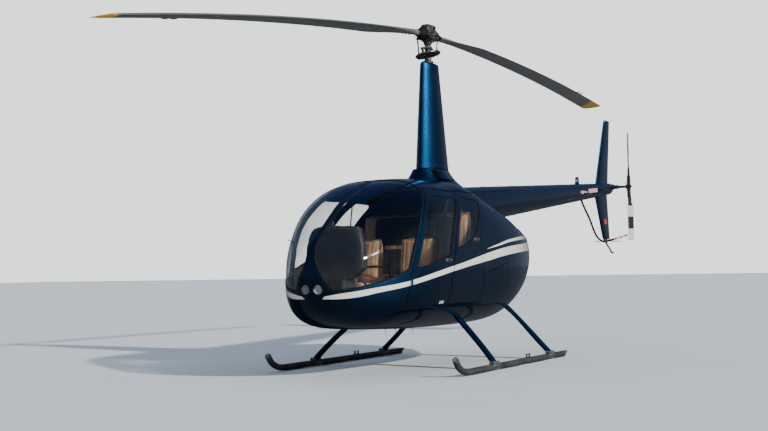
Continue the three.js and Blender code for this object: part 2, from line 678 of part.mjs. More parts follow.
// radius, chord, thickness, y of the leading edge ahead of the pitch axis
const BLADE_SECTIONS = [
  [BLADE_ROOT, 84, 52, 42],
  [430, 120, 44, 56],
  [700, 192, 34, 68],
  [1000, BLADE_CHORD, BLADE_THICKNESS, 72],
  [1900, BLADE_CHORD, BLADE_THICKNESS, 72],
  [2800, BLADE_CHORD, BLADE_THICKNESS, 72],
  [3800, BLADE_CHORD, BLADE_THICKNESS, 72],
  [4840, BLADE_CHORD, BLADE_THICKNESS, 72],
  [ROTOR_RADIUS, 120, 14, -70],
];
for (const [name, way] of [["forward", 1], ["aft", -1]]) {
  addNode(`main_blade_${name}`, loft(BLADE_SECTIONS.map(([radius, chord, thickness, ahead]) => {
    const pitch = ROOT_PITCH + way * CYCLIC_PITCH + BLADE_TWIST * radius / ROTOR_RADIUS;
    return foilRing(chord, -ahead, thickness, (along, flat) => new THREE.Vector3(
      -way * (along * Math.cos(pitch) + flat * Math.sin(pitch)),
      -way * radius,
      bladeHeight(way, radius) - along * Math.sin(pitch) + flat * Math.cos(pitch)), 14);
  })), BLADE_GREY);
}

const HUB = { halfX: 62, halfY: 105, low: HUB_HEIGHT - 78, high: HUB_HEIGHT + 100 };
// z, half width, front y, rear y
const HUB_BLOCK = [
  [HUB.low, HUB.halfX - 22, -HUB.halfY + 30, HUB.halfY - 30],
  [HUB.low + 40, HUB.halfX, -HUB.halfY, HUB.halfY],
  [HUB.high - 55, HUB.halfX, -HUB.halfY, HUB.halfY],
  [HUB.high, HUB.halfX - 18, -HUB.halfY + 45, HUB.halfY - 30],
];
const SHAFT = { radius: 36, gapBelow: 26 };
const BOOT = { sides: 12, inner: 66, outer: 30, overlap: 10 };
const LINK = { x: 131, y: -30, radius: 9, lean: 14, topZ: HUB_HEIGHT - 38 };
const HORN = { rootX: 30, rootY: 110, rootZ: HUB_HEIGHT - 12, tipZ: HUB_HEIGHT - 20, radius: 17 };
const SWASH = { z: 3168, radius: 132, hole: 62, half: 14, tilt: 0.2 };

function bootRing(way, radius, y) {
  return Array.from({ length: BOOT.sides }, (_, i) => {
    const turn = (i / BOOT.sides) * 2 * Math.PI;
    return new THREE.Vector3(radius * Math.cos(turn), -way * y,
      bladeHeight(way, y) + radius * Math.sin(turn));
  });
}

const boots = [1, -1].map((way) => loft([
  bootRing(way, BOOT.inner, HUB.halfY - BOOT.overlap),
  bootRing(way, BOOT.outer, BLADE_ROOT - TOUCH_GAP),
]));
const horns = [1, -1].map((way) => bar([way * HORN.rootX, -way * HORN.rootY, HORN.rootZ],
  [way * LINK.x, way * LINK.y, HORN.tipZ], HORN.radius, 8));
addNode("rotor_hub", joined(
  bar([0, 0, FAIRING_TOP_Z + SHAFT.gapBelow], [0, 0, HUB.low + BOOT.overlap], SHAFT.radius, 16),
  stack(HUB_BLOCK),
  ...boots,
  ...horns), BLACK);

const swashRing = new THREE.LatheGeometry([[SWASH.hole, -1], [SWASH.radius, -1], [SWASH.radius, 1],
  [SWASH.hole, 1], [SWASH.hole, -1]].map(([r, side]) => new THREE.Vector2(r, side * SWASH.half)), 24);
swashRing.rotateX(Math.PI / 2);
swashRing.rotateY(-SWASH.tilt);
swashRing.translate(0, 0, SWASH.z);
const linkFoot = LINK.x * Math.sin(SWASH.tilt);
const links = [1, -1].map((way) => bar([way * (LINK.x - LINK.lean), way * LINK.y, SWASH.z + way * linkFoot],
  [way * LINK.x, way * LINK.y, LINK.topZ], LINK.radius, 8));
addNode("swashplate", joined(swashRing, ...links), STEEL);

// The cabin: two front seats, a rear bench, the instrument pod and the cyclic.
const FLOOR_Z = 604;
const FLOOR_THICKNESS = 20;
const CABIN_CLEAR = 40;
const FLOOR_FRONT_Y = -2200;
addNode("cabin_floor", geometryOf(solidOf(bodyLoft(CABIN_WALL + TOUCH_GAP, CABIN_FRONT_Y))
  .subtract(behindCabin(-CABIN_CLEAR)).intersect(solidOf(box(-PAST.side, PAST.side,
    FLOOR_FRONT_Y, 0, FLOOR_Z - FLOOR_THICKNESS, FLOOR_Z)))), BLACK);
const ON_FLOOR = FLOOR_Z + TOUCH_GAP;
// z, half width, front y, rear y
const SEAT_BASE = [
  [ON_FLOOR, 185, -1420, -900],
  [850, 205, -1470, -900],
];
const SEAT_BACK = [
  [ON_FLOOR, 185, -960, -860],
  [1000, 205, -985, -850],
  [1262, 190, -935, -815],
];
const SEAT_X = 292;
for (const [name, side] of [["left", 1], ["right", -1]]) {
  const at = (rows) => stack(rows.map((row) => [...row, side * SEAT_X]));
  addNode(`seat_front_${name}`, joined(at(SEAT_BASE), at(SEAT_BACK)), LEATHER);
}
const BENCH_BASE = [
  [ON_FLOOR, 560, -760, -395],
  [845, 590, -800, -395],
];
const BENCH_BACK = [
  [ON_FLOOR, 560, -530, -395],
  [850, 590, -530, -395],
  [1240, 590, -460, -395],
  [1540, 500, -385, -260],
];
addNode("seat_rear", joined(stack(BENCH_BASE), stack(BENCH_BACK)), LEATHER);
// The instrument panel's outline in the front view, and the console that carries it.
const PANEL = [
  [-150, 900],
  [-300, 985],
  [-288, 1185],
  [-258, 1275],
  [-228, 1345],
  [228, 1345],
  [258, 1275],
  [288, 1185],
  [300, 985],
  [150, 900],
];
const PANEL_DEPTH = { front: -2010, rear: -1900 };
// z, half width, front y, rear y
const CONSOLE = [
  [ON_FLOOR, 130, -2060, -1700],
  [780, 130, -2060, -1760],
  [960, 120, -2040, -1880],
];
addNode("instrument_pod", joined(
  frontBlock(PANEL, PANEL_DEPTH.front, PANEL_DEPTH.rear),
  stack(CONSOLE)), BLACK);
// One stick between the seats carries a bar with a grip for each pilot.
const CYCLIC = { footY: -1640, topY: -1500, barZ: 988, halfBar: 290, stick: 15, bar: 12, lift: 8 };
addNode("cyclic", joined(
  bar([0, CYCLIC.footY, FLOOR_Z + CYCLIC.lift], [0, CYCLIC.topY, CYCLIC.barZ], CYCLIC.stick, 10),
  bar([-CYCLIC.halfBar, CYCLIC.topY, CYCLIC.barZ], [CYCLIC.halfBar, CYCLIC.topY, CYCLIC.barZ],
    CYCLIC.bar, 10)), BLACK);

// The beacon on the tail cone, and the exhaust pipe that leaves the belly.
const BEACON = { y: 4500, foot: 2044, top: 2140, radius: 28 };
addNode("beacon", bar([0, BEACON.y, BEACON.foot], [0, BEACON.y, BEACON.top], BEACON.radius, 12), BEACON_RED);
const EXHAUST = { start: [0, 1350, 900], end: [0, 1620, 600], radius: 80 };
addNode("exhaust", bar(EXHAUST.start, EXHAUST.end, EXHAUST.radius, 16), STEEL);

aircraft.position.y = MAST_OFFSET_Y;
const part = new THREE.Group();
part.add(aircraft);
export default part;
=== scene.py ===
import math
import bmesh
import bpy
from mathutils import Matrix, Vector
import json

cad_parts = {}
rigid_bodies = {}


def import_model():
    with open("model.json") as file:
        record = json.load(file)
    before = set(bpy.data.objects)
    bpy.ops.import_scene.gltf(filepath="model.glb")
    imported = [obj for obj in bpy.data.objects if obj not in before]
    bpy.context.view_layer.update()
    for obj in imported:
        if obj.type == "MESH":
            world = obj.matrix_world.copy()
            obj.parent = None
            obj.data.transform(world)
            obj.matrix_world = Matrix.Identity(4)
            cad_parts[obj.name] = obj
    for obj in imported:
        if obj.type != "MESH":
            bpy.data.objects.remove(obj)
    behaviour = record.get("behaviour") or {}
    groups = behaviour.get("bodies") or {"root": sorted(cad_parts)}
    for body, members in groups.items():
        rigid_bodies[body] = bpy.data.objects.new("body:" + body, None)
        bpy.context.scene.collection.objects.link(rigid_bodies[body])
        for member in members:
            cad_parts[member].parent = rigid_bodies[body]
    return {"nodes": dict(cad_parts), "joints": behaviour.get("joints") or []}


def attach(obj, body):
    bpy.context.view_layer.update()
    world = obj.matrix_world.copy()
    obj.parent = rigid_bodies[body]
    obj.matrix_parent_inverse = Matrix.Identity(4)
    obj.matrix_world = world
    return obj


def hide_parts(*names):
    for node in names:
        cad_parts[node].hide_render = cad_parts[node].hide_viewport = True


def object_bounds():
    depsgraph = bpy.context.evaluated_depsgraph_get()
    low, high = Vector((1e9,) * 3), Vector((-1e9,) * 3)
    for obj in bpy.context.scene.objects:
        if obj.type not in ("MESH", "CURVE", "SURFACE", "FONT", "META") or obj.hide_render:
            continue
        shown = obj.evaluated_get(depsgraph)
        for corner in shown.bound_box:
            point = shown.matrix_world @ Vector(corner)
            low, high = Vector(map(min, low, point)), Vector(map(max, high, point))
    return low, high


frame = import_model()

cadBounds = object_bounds()
scene = bpy.context.scene
mastY = frame["joints"][0]["pos_m"][1]
groundZ = cadBounds[0].z


def at(x, y, z):
    # millimetres from the mast's foot on the ground, to metres in the frame
    return Vector((x / 1000, mastY + y / 1000, groundZ + z / 1000))


def spotAt(x, y, z):
    return Matrix.Translation(at(x, y, z))


bothSides = ((1, "left"), (-1, "right"))


# camera: place in mm from the mast's foot, angles in radians
cameraView = {"place": (5790.4, -11972.4, 1005.5), "yaw": 0.48679, "pitch": 0.038315, "roll": -0.01771,
    "lens": 60.65, "sensor": 36}


def makeCamera():
    yaw, pitch, roll = cameraView["yaw"], cameraView["pitch"], cameraView["roll"]
    ahead = Vector((-math.sin(yaw) * math.cos(pitch), math.cos(yaw) * math.cos(pitch), math.sin(pitch)))
    level = Vector((math.cos(yaw), math.sin(yaw), 0))
    rise = level.cross(ahead)
    right = level * math.cos(roll) + rise * math.sin(roll)
    up = rise * math.cos(roll) - level * math.sin(roll)
    data = bpy.data.cameras.new("camera")
    data.lens, data.sensor_width = cameraView["lens"], cameraView["sensor"]
    data.clip_end = 200
    camera = bpy.data.objects.new("camera", data)
    turn = Matrix((right, up, -ahead)).transposed()
    camera.matrix_world = spotAt(*cameraView["place"]) @ turn.to_4x4()
    scene.collection.objects.link(camera)
    scene.camera = camera


makeCamera()
print("camera placed")

# small tools for meshes
cutters = {}        # blocks that only cut, removed at the end


def linkObject(name, mesh):
    piece = bpy.data.objects.new(name, mesh)
    scene.collection.objects.link(piece)
    return piece


def pieceFrom(name, bm, materials=(), smoothAngle=35):
    mesh = bpy.data.meshes.new(name)
    for face in bm.faces:
        face.smooth = True
    bm.to_mesh(mesh)
    bm.free()
    mesh.set_sharp_from_angle(angle=math.radians(smoothAngle))
    for material in materials:
        mesh.materials.append(material)
    return linkObject(name, mesh)


def tidy(bm, doubles=0.0002):
    bmesh.ops.remove_doubles(bm, verts=bm.verts, dist=doubles)
    bmesh.ops.recalc_face_normals(bm, faces=bm.faces)


def settle(piece, body, *nodes, slot=None):
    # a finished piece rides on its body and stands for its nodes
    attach(piece, body)
    if nodes:
        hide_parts(*nodes)
    return piece


def mirroredCopy(piece, name):
    mesh = piece.data.copy()
    bm = bmesh.new()
    bm.from_mesh(mesh)
    bmesh.ops.scale(bm, vec=(-1, 1, 1), verts=bm.verts)
    bmesh.ops.reverse_faces(bm, faces=bm.faces)
    bm.to_mesh(mesh)
    bm.free()
    copy = linkObject(name, mesh)
    for source in piece.modifiers:
        modifier = copy.modifiers.new(source.name, source.type)
        for setting in ("thickness", "offset", "material_offset", "width", "segments", "levels",
                "material_offset_rim", "render_levels"):
            if hasattr(source, setting):
                setattr(modifier, setting, getattr(source, setting))
    return copy


def ringAt(bm, count, place):
    # a closed ring whose points the place function sets from their turn
    ring = bmesh.ops.create_circle(bm, segments=count, radius=1)["verts"]
    for i, vert in enumerate(ring):
        vert.co = place(i / count * math.tau)
    return ring


def ringEdges(ring):
    inside = set(ring)
    return [e for v in ring for e in v.link_edges if e.verts[0] in inside and e.verts[1] in inside]


def loftRings(bm, rings, closeEnds=True):
    loops = [list(dict.fromkeys(ringEdges(ring))) for ring in rings]
    for first, second in zip(loops, loops[1:]):
        bmesh.ops.bridge_loops(bm, edges=first + second)
    if closeEnds:
        for loop in (loops[0], loops[-1]):
            face = bmesh.ops.contextual_create(bm, geom=loop)["faces"]
            bmesh.ops.poke(bm, faces=face)


def loftRows(bm, count, rows, place):
    # one ring for each row; the place function gets the row and the turn
    rings = [ringAt(bm, count, lambda turn, row=row: place(row, turn)) for row in rows]
    loftRings(bm, rings)
    return rings


# the body's sections, from the nose to the stern, in mm:
# y, lowest z, highest z, half width, z of the widest place, squareness above, squareness below
bodySections = [
    (-2426, 930, 930, 0, 930, 2.0, 2.0),
    (-2420, 860, 1000, 60, 930, 2.0, 2.0),
    (-2395, 765, 1125, 150, 930, 2.0, 2.0),
    (-2340, 668, 1215, 232, 928, 2.0, 2.1),
    (-2240, 570, 1292, 340, 922, 2.05, 2.3),
    (-2080, 488, 1414, 462, 915, 2.15, 2.7),
    (-1880, 440, 1559, 582, 915, 2.4, 3.0),
    (-1650, 424, 1677, 672, 940, 2.8, 3.0),
    (-1380, 412, 1778, 722, 970, 3.0, 2.95),
    (-1050, 400, 1826, 735, 985, 2.95, 2.9),
    (-600, 390, 1843, 736, 990, 2.85, 2.9),
    (-200, 387, 1845, 737, 992, 2.85, 2.85),
    (250, 388, 1722, 735, 998, 2.9, 2.7),
    (700, 405, 1590, 690, 1015, 3.1, 2.5),
    (1100, 490, 1500, 595, 1020, 3.1, 2.4),
    (1450, 603, 1437, 488, 1040, 3.0, 2.3),
    (1720, 754, 1382, 390, 1090, 2.9, 2.25),
    (1890, 908, 1334, 282, 1137, 2.7, 2.2),
    (1960, 1038, 1292, 170, 1165, 2.3, 2.2),
    (1984, 1165, 1165, 0, 1165, 2.0, 2.0),
]
bodySkin = {"around": 120, "step": 46, "least": 3, "poleShare": 0.02}


def smoothBetween(rows, step, least):
    # rows in between, on a smooth curve through every column
    way = [0.0]
    for a, b in zip(rows, rows[1:]):
        way.append(way[-1] + math.dist(a[:4], b[:4]))
    slopes = []
    for i in range(len(rows)):
        lo, hi = max(i - 1, 0), min(i + 1, len(rows) - 1)
        if 0 < i < len(rows) - 1:
            before, after = way[i] - way[i - 1], way[i + 1] - way[i]
            slopes.append([((c - b) / after * before + (b - a) / before * after) / (before + after) for a,
                b, c in zip(rows[i - 1], rows[i], rows[i + 1])])
        else:
            slopes.append([(b - a) / (way[hi] - way[lo]) for a, b in zip(rows[lo], rows[hi])])
    out = []
    for i in range(len(rows) - 1):
        span = way[i + 1] - way[i]
        count = max(least, round(span / step))
        for k in range(count):
            t = k / count
            h = (2 * t**3 - 3 * t**2 + 1, t**3 - 2 * t**2 + t, 3 * t**2 - 2 * t**3, t**3 - t**2)
            out.append([a * h[0] + ma * span * h[1] + b * h[2] + mb * span * h[3] for a, b, ma,
                mb in zip(rows[i], rows[i + 1], slopes[i], slopes[i + 1])])
    out.append(list(rows[-1]))
    return out


def sectionPoint(row, turn, inset=0):
    y, low, high, half, widest, above, below = row
    c, s = math.cos(turn), math.sin(turn)
    power = above if s >= 0 else below
    reach = high - widest if s >= 0 else widest - low
    r = (abs(c) ** power + abs(s) ** power) ** (-1 / power)
    return at((half - inset) * c * r, y, widest + (reach - inset) * s * r)


def makeBody():
    rows = smoothBetween(bodySections, bodySkin["step"], bodySkin["least"])
    share = bodySkin["poleShare"]
    rows[0] = [a + (b - a) * share for a, b in zip(rows[0], rows[1])]
    rows[-1] = [a + (b - a) * share for a, b in zip(rows[-1], rows[-2])]
    bm = bmesh.new()
    loftRows(bm, bodySkin["around"], rows, sectionPoint)
    tidy(bm, 1e-5)
    plain = [bpy.data.materials.new(n) for n in ("kept", "cut")]
    return pieceFrom("bodyBlock", bm, plain)


# outlines in the side view, in mm: y, z and how far the edge leans aft for each mm outward
doorOutlines = {
    "front": [(-1770, 640, 0), (-1752, 870, 0), (-1724, 985, 0), (-1645, 1180, 0), (-1562, 1335, 0),
              (-1455, 1485, 0), (-1235, 1705, 0), (-608, 1705, 0.15), (-716, 1600, 0.13),
              (-942, 1352, 0.1), (-1030, 1142, 0.08), (-1062, 970, 0.08), (-1105, 870, 0.12),
              (-1122, 640, 0.16)],
    "rear": [(-1092, 640, 0), (-1075, 870, 0), (-1032, 970, 0), (-1000, 1142, 0), (-912, 1352, 0),
             (-686, 1600, 0), (-578, 1705, 0), (-90, 1705, 0.3), (-150, 1590, 0.25),
             (-385, 1350, 0.2), (-440, 1240, 0.2), (-440, 640, 0.32)],
}
windowOutlines = {
    "front": [(-1676, 972), (-1586, 1188), (-1507, 1338), (-1420, 1485), (-1250, 1648), (-690, 1652),
              (-875, 1469), (-980, 1346), (-1066, 1190), (-1095, 1086), (-1320, 1042), (-1560, 988)],
    "rear": [(-948, 1142), (-877, 1352), (-640, 1610), (-580, 1650), (-240, 1640), (-200, 1600),
             (-358, 1430), (-432, 1350), (-530, 1270), (-650, 1212)],
}
baggageOutline = [(-330, 600, 0), (-330, 905, 0), (215, 1010, 0.24), (215, 600, 0.36)]
windshieldOutline = [(-3000, 790), (-2322, 790), (-2202, 815), (-2082, 847), (-1863, 917), (-1755, 972),
    (-1672, 1188), (-1590, 1337), (-1486, 1484), (-1262, 1705), (-1165, 1900), (-3000, 1900)]
cabinEnd = [(-345, 200), (-345, 1240), (-290, 1375), (-40, 1640), (-10, 1712), (-10, 2000)]
grilleOutline = [(1150, 1330), (1150, 1420), (1830, 1330), (1830, 1225)]
noseCapOutline = [(-190, 780), (-128, 872), (128, 872), (190, 780)]
bowWidths = [(872, 128), (940, 95), (1000, 62), (1050, 42), (1157, 26), (1240, 18), (2000, 18)]
seams = {"door": 7, "panel": 2.5, "glass": 3, "roofZ": 1712, "sideFrom": 300, "leanFrom": 640,
    "past": 1100, "round": 45}


def grown(outline, distance):
    # the same outline with every side moved outward
    area = sum(a[0] * b[1] - b[0] * a[1] for a, b in zip(outline, outline[1:] + outline[:1]))
    side = 1 if area > 0 else -1
    out = []
    for i, here in enumerate(outline):
        last, after = Vector(outline[i - 1][:2]), Vector(outline[(i + 1) % len(outline)][:2])
        point = Vector(here[:2])
        into, away = (point - last).normalized(), (after - point).normalized()
        first = Vector((into.y, -into.x)) * side
        second = Vector((away.y, -away.x)) * side
        middle = (first + second).normalized()
        moved = point + middle * distance / max(0.4, middle.dot(second))
        out.append((moved.x, moved.y) + tuple(here[2:]))
    return out


def keepCutter(name, bm):
    for f in bm.faces:
        f.material_index = 1
    cutters[name] = pieceFrom(name, bm, bodyBlock.data.materials)


def sideCutter(name, outline, fromX, toX, round=0, roundOver=0.35):
    # a block with that outline in the side view; its long edges may be rounded
    bm = bmesh.new()

    def place(corner, x):
        lean = corner[2] if len(corner) > 2 else 0
        return at(x, corner[0] + lean * (abs(x) - seams["leanFrom"]), corner[1])
    near = [bm.verts.new(place(c, fromX)) for c in outline]
    face = bm.faces.new(near)
    extruded = bmesh.ops.extrude_face_region(bm, geom=[face])["geom"]
    far = [v for v in extruded if isinstance(v, bmesh.types.BMVert)]
    for vert in far:
        corner = min(outline, key=lambda c: (place(c, fromX) - vert.co).length)
        vert.co = place(corner, toX)
    bmesh.ops.recalc_face_normals(bm, faces=bm.faces)
    if round:
        bm.edges.ensure_lookup_table()
        along = [e for e in bm.edges if abs(e.verts[0].co.x - e.verts[1].co.x) > 0.01
            and e.calc_face_angle(0) > roundOver]
        bmesh.ops.bevel(bm, geom=along, offset=round / 1000, offset_type="OFFSET", affect="EDGES",
            segments=6, profile=0.5, material=-1, clamp_overlap=True)
    keepCutter(name, bm)


def frontCutter(name, outline, fromY, toY):
    bm = bmesh.new()
    face = bm.faces.new([bm.verts.new(at(x, fromY, z)) for x, z in outline])
    extruded = bmesh.ops.extrude_face_region(bm, geom=[face])["geom"]
    bmesh.ops.translate(bm, vec=(0, (toY - fromY) / 1000, 0),
        verts=[v for v in extruded if isinstance(v, bmesh.types.BMVert)])
    bmesh.ops.recalc_face_normals(bm, faces=bm.faces)
    keepCutter(name, bm)


def boxCutter(name, low, high):
    outline = [(low[1], low[2]), (high[1], low[2]), (high[1], high[2]), (low[1], high[2])]
    sideCutter(name, outline, low[0], high[0])


def cutCopy(source, steps):
    # the source's mesh after these cuts; a minus before a block's name cuts it away
    work = linkObject("work", source.data.copy())
    for step in steps:
        cut = work.modifiers.new("cut", "BOOLEAN")
        cut.operation = "DIFFERENCE" if step[0] == "-" else "INTERSECT"
        cut.object, cut.solver = cutters[step.removeprefix("-")], "EXACT"
    mesh = bpy.data.meshes.new_from_object(work.evaluated_get(bpy.context.evaluated_depsgraph_get()))
    bpy.data.objects.remove(work)
    return mesh


def skinPatch(name, steps, looks, thickness, inset=0):
    # the part of the body's skin that the cuts leave, given its wall
    mesh = cutCopy(bodyBlock, steps)
    bm = bmesh.new()
    bm.from_mesh(mesh)
    bmesh.ops.delete(bm, geom=[f for f in bm.faces if f.material_index == 1], context="FACES")
    bmesh.ops.remove_doubles(bm, verts=bm.verts, dist=0.0004)
    bmesh.ops.dissolve_degenerate(bm, edges=bm.edges, dist=0.0002)
    bm.normal_update()
    if inset:
        normals = [v.normal.copy() for v in bm.verts]
        for vert, normal in zip(bm.verts, normals):
            vert.co -= normal * inset / 1000
    patch = pieceFrom(name, bm, [finish[look] for look in looks])
    wall = patch.modifiers.new("wall", "SOLIDIFY")
    wall.thickness, wall.offset = thickness / 1000, -1
    wall.material_offset, wall.material_offset_rim = (1, 2) if len(looks) == 3 else (0, 0)
    return patch


# shared shader groups and the materials
def newGroup(name, inputs, outputs):
    group = bpy.data.node_groups.new(name, "ShaderNodeTree")
    for label, value in inputs:
        socket = group.interface.new_socket(name=label, in_out="INPUT", socket_type="NodeSocketFloat")
        socket.default_value = value
    for label, kind in outputs:
        group.interface.new_socket(name=label, in_out="OUTPUT", socket_type=kind)
    return group, group.nodes.new("NodeGroupInput"), group.nodes.new("NodeGroupOutput")


def addNode(tree, kind, settings=None, **inputs):
    node = tree.nodes.new(kind)
    for key, value in (settings or {}).items():
        setattr(node, key, value)
    for key, value in inputs.items():
        socket = node.inputs[int(key[1:])] if key[0] == "i" and key[1:].isdigit() else node.inputs[key]
        if hasattr(value, "is_output"):
            tree.links.new(value, socket)
        else:
            socket.default_value = value
    return node


def objectPoint(tree):
    return addNode(tree, "ShaderNodeTexCoord").outputs["Object"]


def mathNode(tree, operation, a, b=0.0, c=0.0, clamp=False):
    return addNode(tree, "ShaderNodeMath", {"operation": operation, "use_clamp": clamp}, i0=a, i1=b,
        i2=c).outputs[0]


def mixColour(tree, share, a, b, blend="MIX"):
    node = addNode(tree, "ShaderNodeMix", {"data_type": "RGBA", "blend_type": blend})
    for socket, value in ((node.inputs[0], share), (node.inputs[6], a), (node.inputs[7], b)):
        if hasattr(value, "is_output"):
            tree.links.new(value, socket)
        else:
            socket.default_value = value
    return node.outputs[2]


def noise(tree, scale, detail=3.0, rough=0.5, vector=None, stretch=None):
    vector = vector or objectPoint(tree)
    if stretch:
        vector = addNode(tree, "ShaderNodeMapping", Vector=vector, Scale=stretch).outputs[0]
    return addNode(tree, "ShaderNodeTexNoise", Vector=vector, Scale=scale, Detail=detail,
        Roughness=rough).outputs[0]


def ramp(tree, value, low, high):
    node = addNode(tree, "ShaderNodeMapRange", {"clamp": True}, Value=value)
    node.inputs["From Min"].default_value = low
    node.inputs["From Max"].default_value = high
    return node.outputs[0]


def makeGrainGroup():
    # fine grain: a mask and a bumped normal
    group, given, out = newGroup("fineGrain", [("Scale", 400.0), ("Depth", 0.0002)],
        [("Mask", "NodeSocketFloat"), ("Normal", "NodeSocketVector")])
    cells = addNode(group, "ShaderNodeTexVoronoi", {"feature": "SMOOTH_F1"}, Vector=objectPoint(group),
        Scale=given.outputs["Scale"])
    bump = addNode(group, "ShaderNodeBump", Distance=given.outputs["Depth"], Height=cells.outputs[0])
    group.links.new(cells.outputs[0], out.inputs["Mask"])
    group.links.new(bump.outputs[0], out.inputs["Normal"])
    return group


def makeWearGroup():
    # bare edges and rubbed places
    group, given, out = newGroup("edgeWear", [("Scale", 30.0), ("Amount", 0.5)],
        [("Mask", "NodeSocketFloat")])
    pointed = addNode(group, "ShaderNodeNewGeometry").outputs["Pointiness"]
    edges = ramp(group, pointed, 0.52, 0.6)
    patches = addNode(group, "ShaderNodeTexNoise", Vector=objectPoint(group), Detail=5.0,
        Scale=given.outputs["Scale"]).outputs[0]
    worn = mathNode(group, "MULTIPLY", edges, ramp(group, patches, 0.35, 0.65))
    group.links.new(mathNode(group, "MULTIPLY", worn, given.outputs["Amount"], clamp=True),
        out.inputs["Mask"])
    return group


def makeDustGroup():
    # a thin film of dust with faint vertical streaks
    group, given, out = newGroup("dustFilm", [("Amount", 0.15), ("Scale", 3.0)],
        [("Mask", "NodeSocketFloat")])
    spots = addNode(group, "ShaderNodeTexNoise", Vector=objectPoint(group), Detail=6.0,
        Scale=given.outputs["Scale"]).outputs[0]
    drawn = addNode(group, "ShaderNodeMapping", Vector=objectPoint(group), Scale=(14, 14, 1.2)).outputs[0]
    streaks = addNode(group, "ShaderNodeTexNoise", Vector=drawn, Detail=3.0,
        Scale=given.outputs["Scale"]).outputs[0]
    both = mathNode(group, "MULTIPLY", ramp(group, spots, 0.35, 0.75), ramp(group, streaks, 0.3, 0.8))
    group.links.new(mathNode(group, "MULTIPLY", both, given.outputs["Amount"], clamp=True),
        out.inputs["Mask"])
    return group


def makeFlakeGroup():
    # metallic flakes under clear lacquer: a brightness for each flake and its tilt
    group, given, out = newGroup("metalFlake", [("Scale", 900.0), ("Tilt", 0.3)],
        [("Spark", "NodeSocketFloat"), ("Normal", "NodeSocketVector")])
    cells = addNode(group, "ShaderNodeTexVoronoi", Vector=objectPoint(group), Scale=given.outputs["Scale"])
    spark = addNode(group, "ShaderNodeSeparateColor", Color=cells.outputs["Color"]).outputs[0]
    bump = addNode(group, "ShaderNodeBump", Strength=given.outputs["Tilt"], Distance=0.0004, Height=spark)
    group.links.new(spark, out.inputs["Spark"])
    group.links.new(bump.outputs[0], out.inputs["Normal"])
    return group


grainGroup, wearGroup = makeGrainGroup(), makeWearGroup()
dustGroup, flakeGroup = makeDustGroup(), makeFlakeGroup()


def placeGroup(tree, group, **inputs):
    node = tree.nodes.new("ShaderNodeGroup")
    node.node_tree = group
    for label, value in inputs.items():
        node.inputs[label].default_value = value
    return node


def newMaterial(name):
    material = bpy.data.materials.new(name)
    material.use_nodes = True
    tree = material.node_tree
    return material, tree, tree.nodes["Principled BSDF"]


def setPlain(shader, **values):
    for label, value in values.items():
        shader.inputs[label.replace("_", " ")].default_value = value


# stripes on the body, in mm: y along the body, z of the edge
stripeEdges = {"mainTop": [(-2362, 746), (-2322, 762), (-2214, 785), (-2045, 816), (-1864, 844),
    (-1330, 947), (-790, 1024), (-176, 1118), (149, 1159), (597, 1193), (1433, 1226), (1960, 1234)],
    "mainBottom": [(-2362, 721), (-2307, 719), (-2202, 732), (-2041, 769), (-1863, 801), (-1331, 898),
    (-793, 970), (-182, 1039), (137, 1077), (575, 1110), (1433, 1139), (1960, 1147)],
    "thinTop": [(-267, 1148), (0, 1195), (390, 1251), (1237, 1297), (1960, 1302)],
    "thinBottom": [(-267, 1146), (0, 1176), (390, 1224), (1055, 1257), (1960, 1264)],}
stripeBox = {"fromY": -2450, "toY": 2050, "fromZ": 650, "toZ": 1350, "noseHalf": 87, "slant": 1.2,
    "soft": 0.0012, "thinFrom": -267}
paint = {"deep": (0.0012, 0.009, 0.03, 1), "flake": (0.02, 0.17, 0.4, 1), "cream": (0.8, 0.76, 0.65, 1),
    "dust": (0.1, 0.1, 0.1, 1), "metal": 1.0, "rough": 0.4}


def curveOf(tree, y01, points):
    # z of a stripe's edge as the body's length runs, both scaled to 0..1
    node = tree.nodes.new("ShaderNodeFloatCurve")
    line = node.mapping.curves[0]
    box = stripeBox
    scaled = [((y - box["fromY"]) / (box["toY"] - box["fromY"]),
        (z - box["fromZ"]) / (box["toZ"] - box["fromZ"])) for y, z in points]
    line.points[0].location, line.points[1].location = scaled[0], scaled[-1]
    for place in scaled[1:-1]:
        line.points.new(*place)
    node.mapping.extend = "HORIZONTAL"
    node.mapping.update()
    tree.links.new(y01, node.inputs["Value"])
    return node.outputs[0]


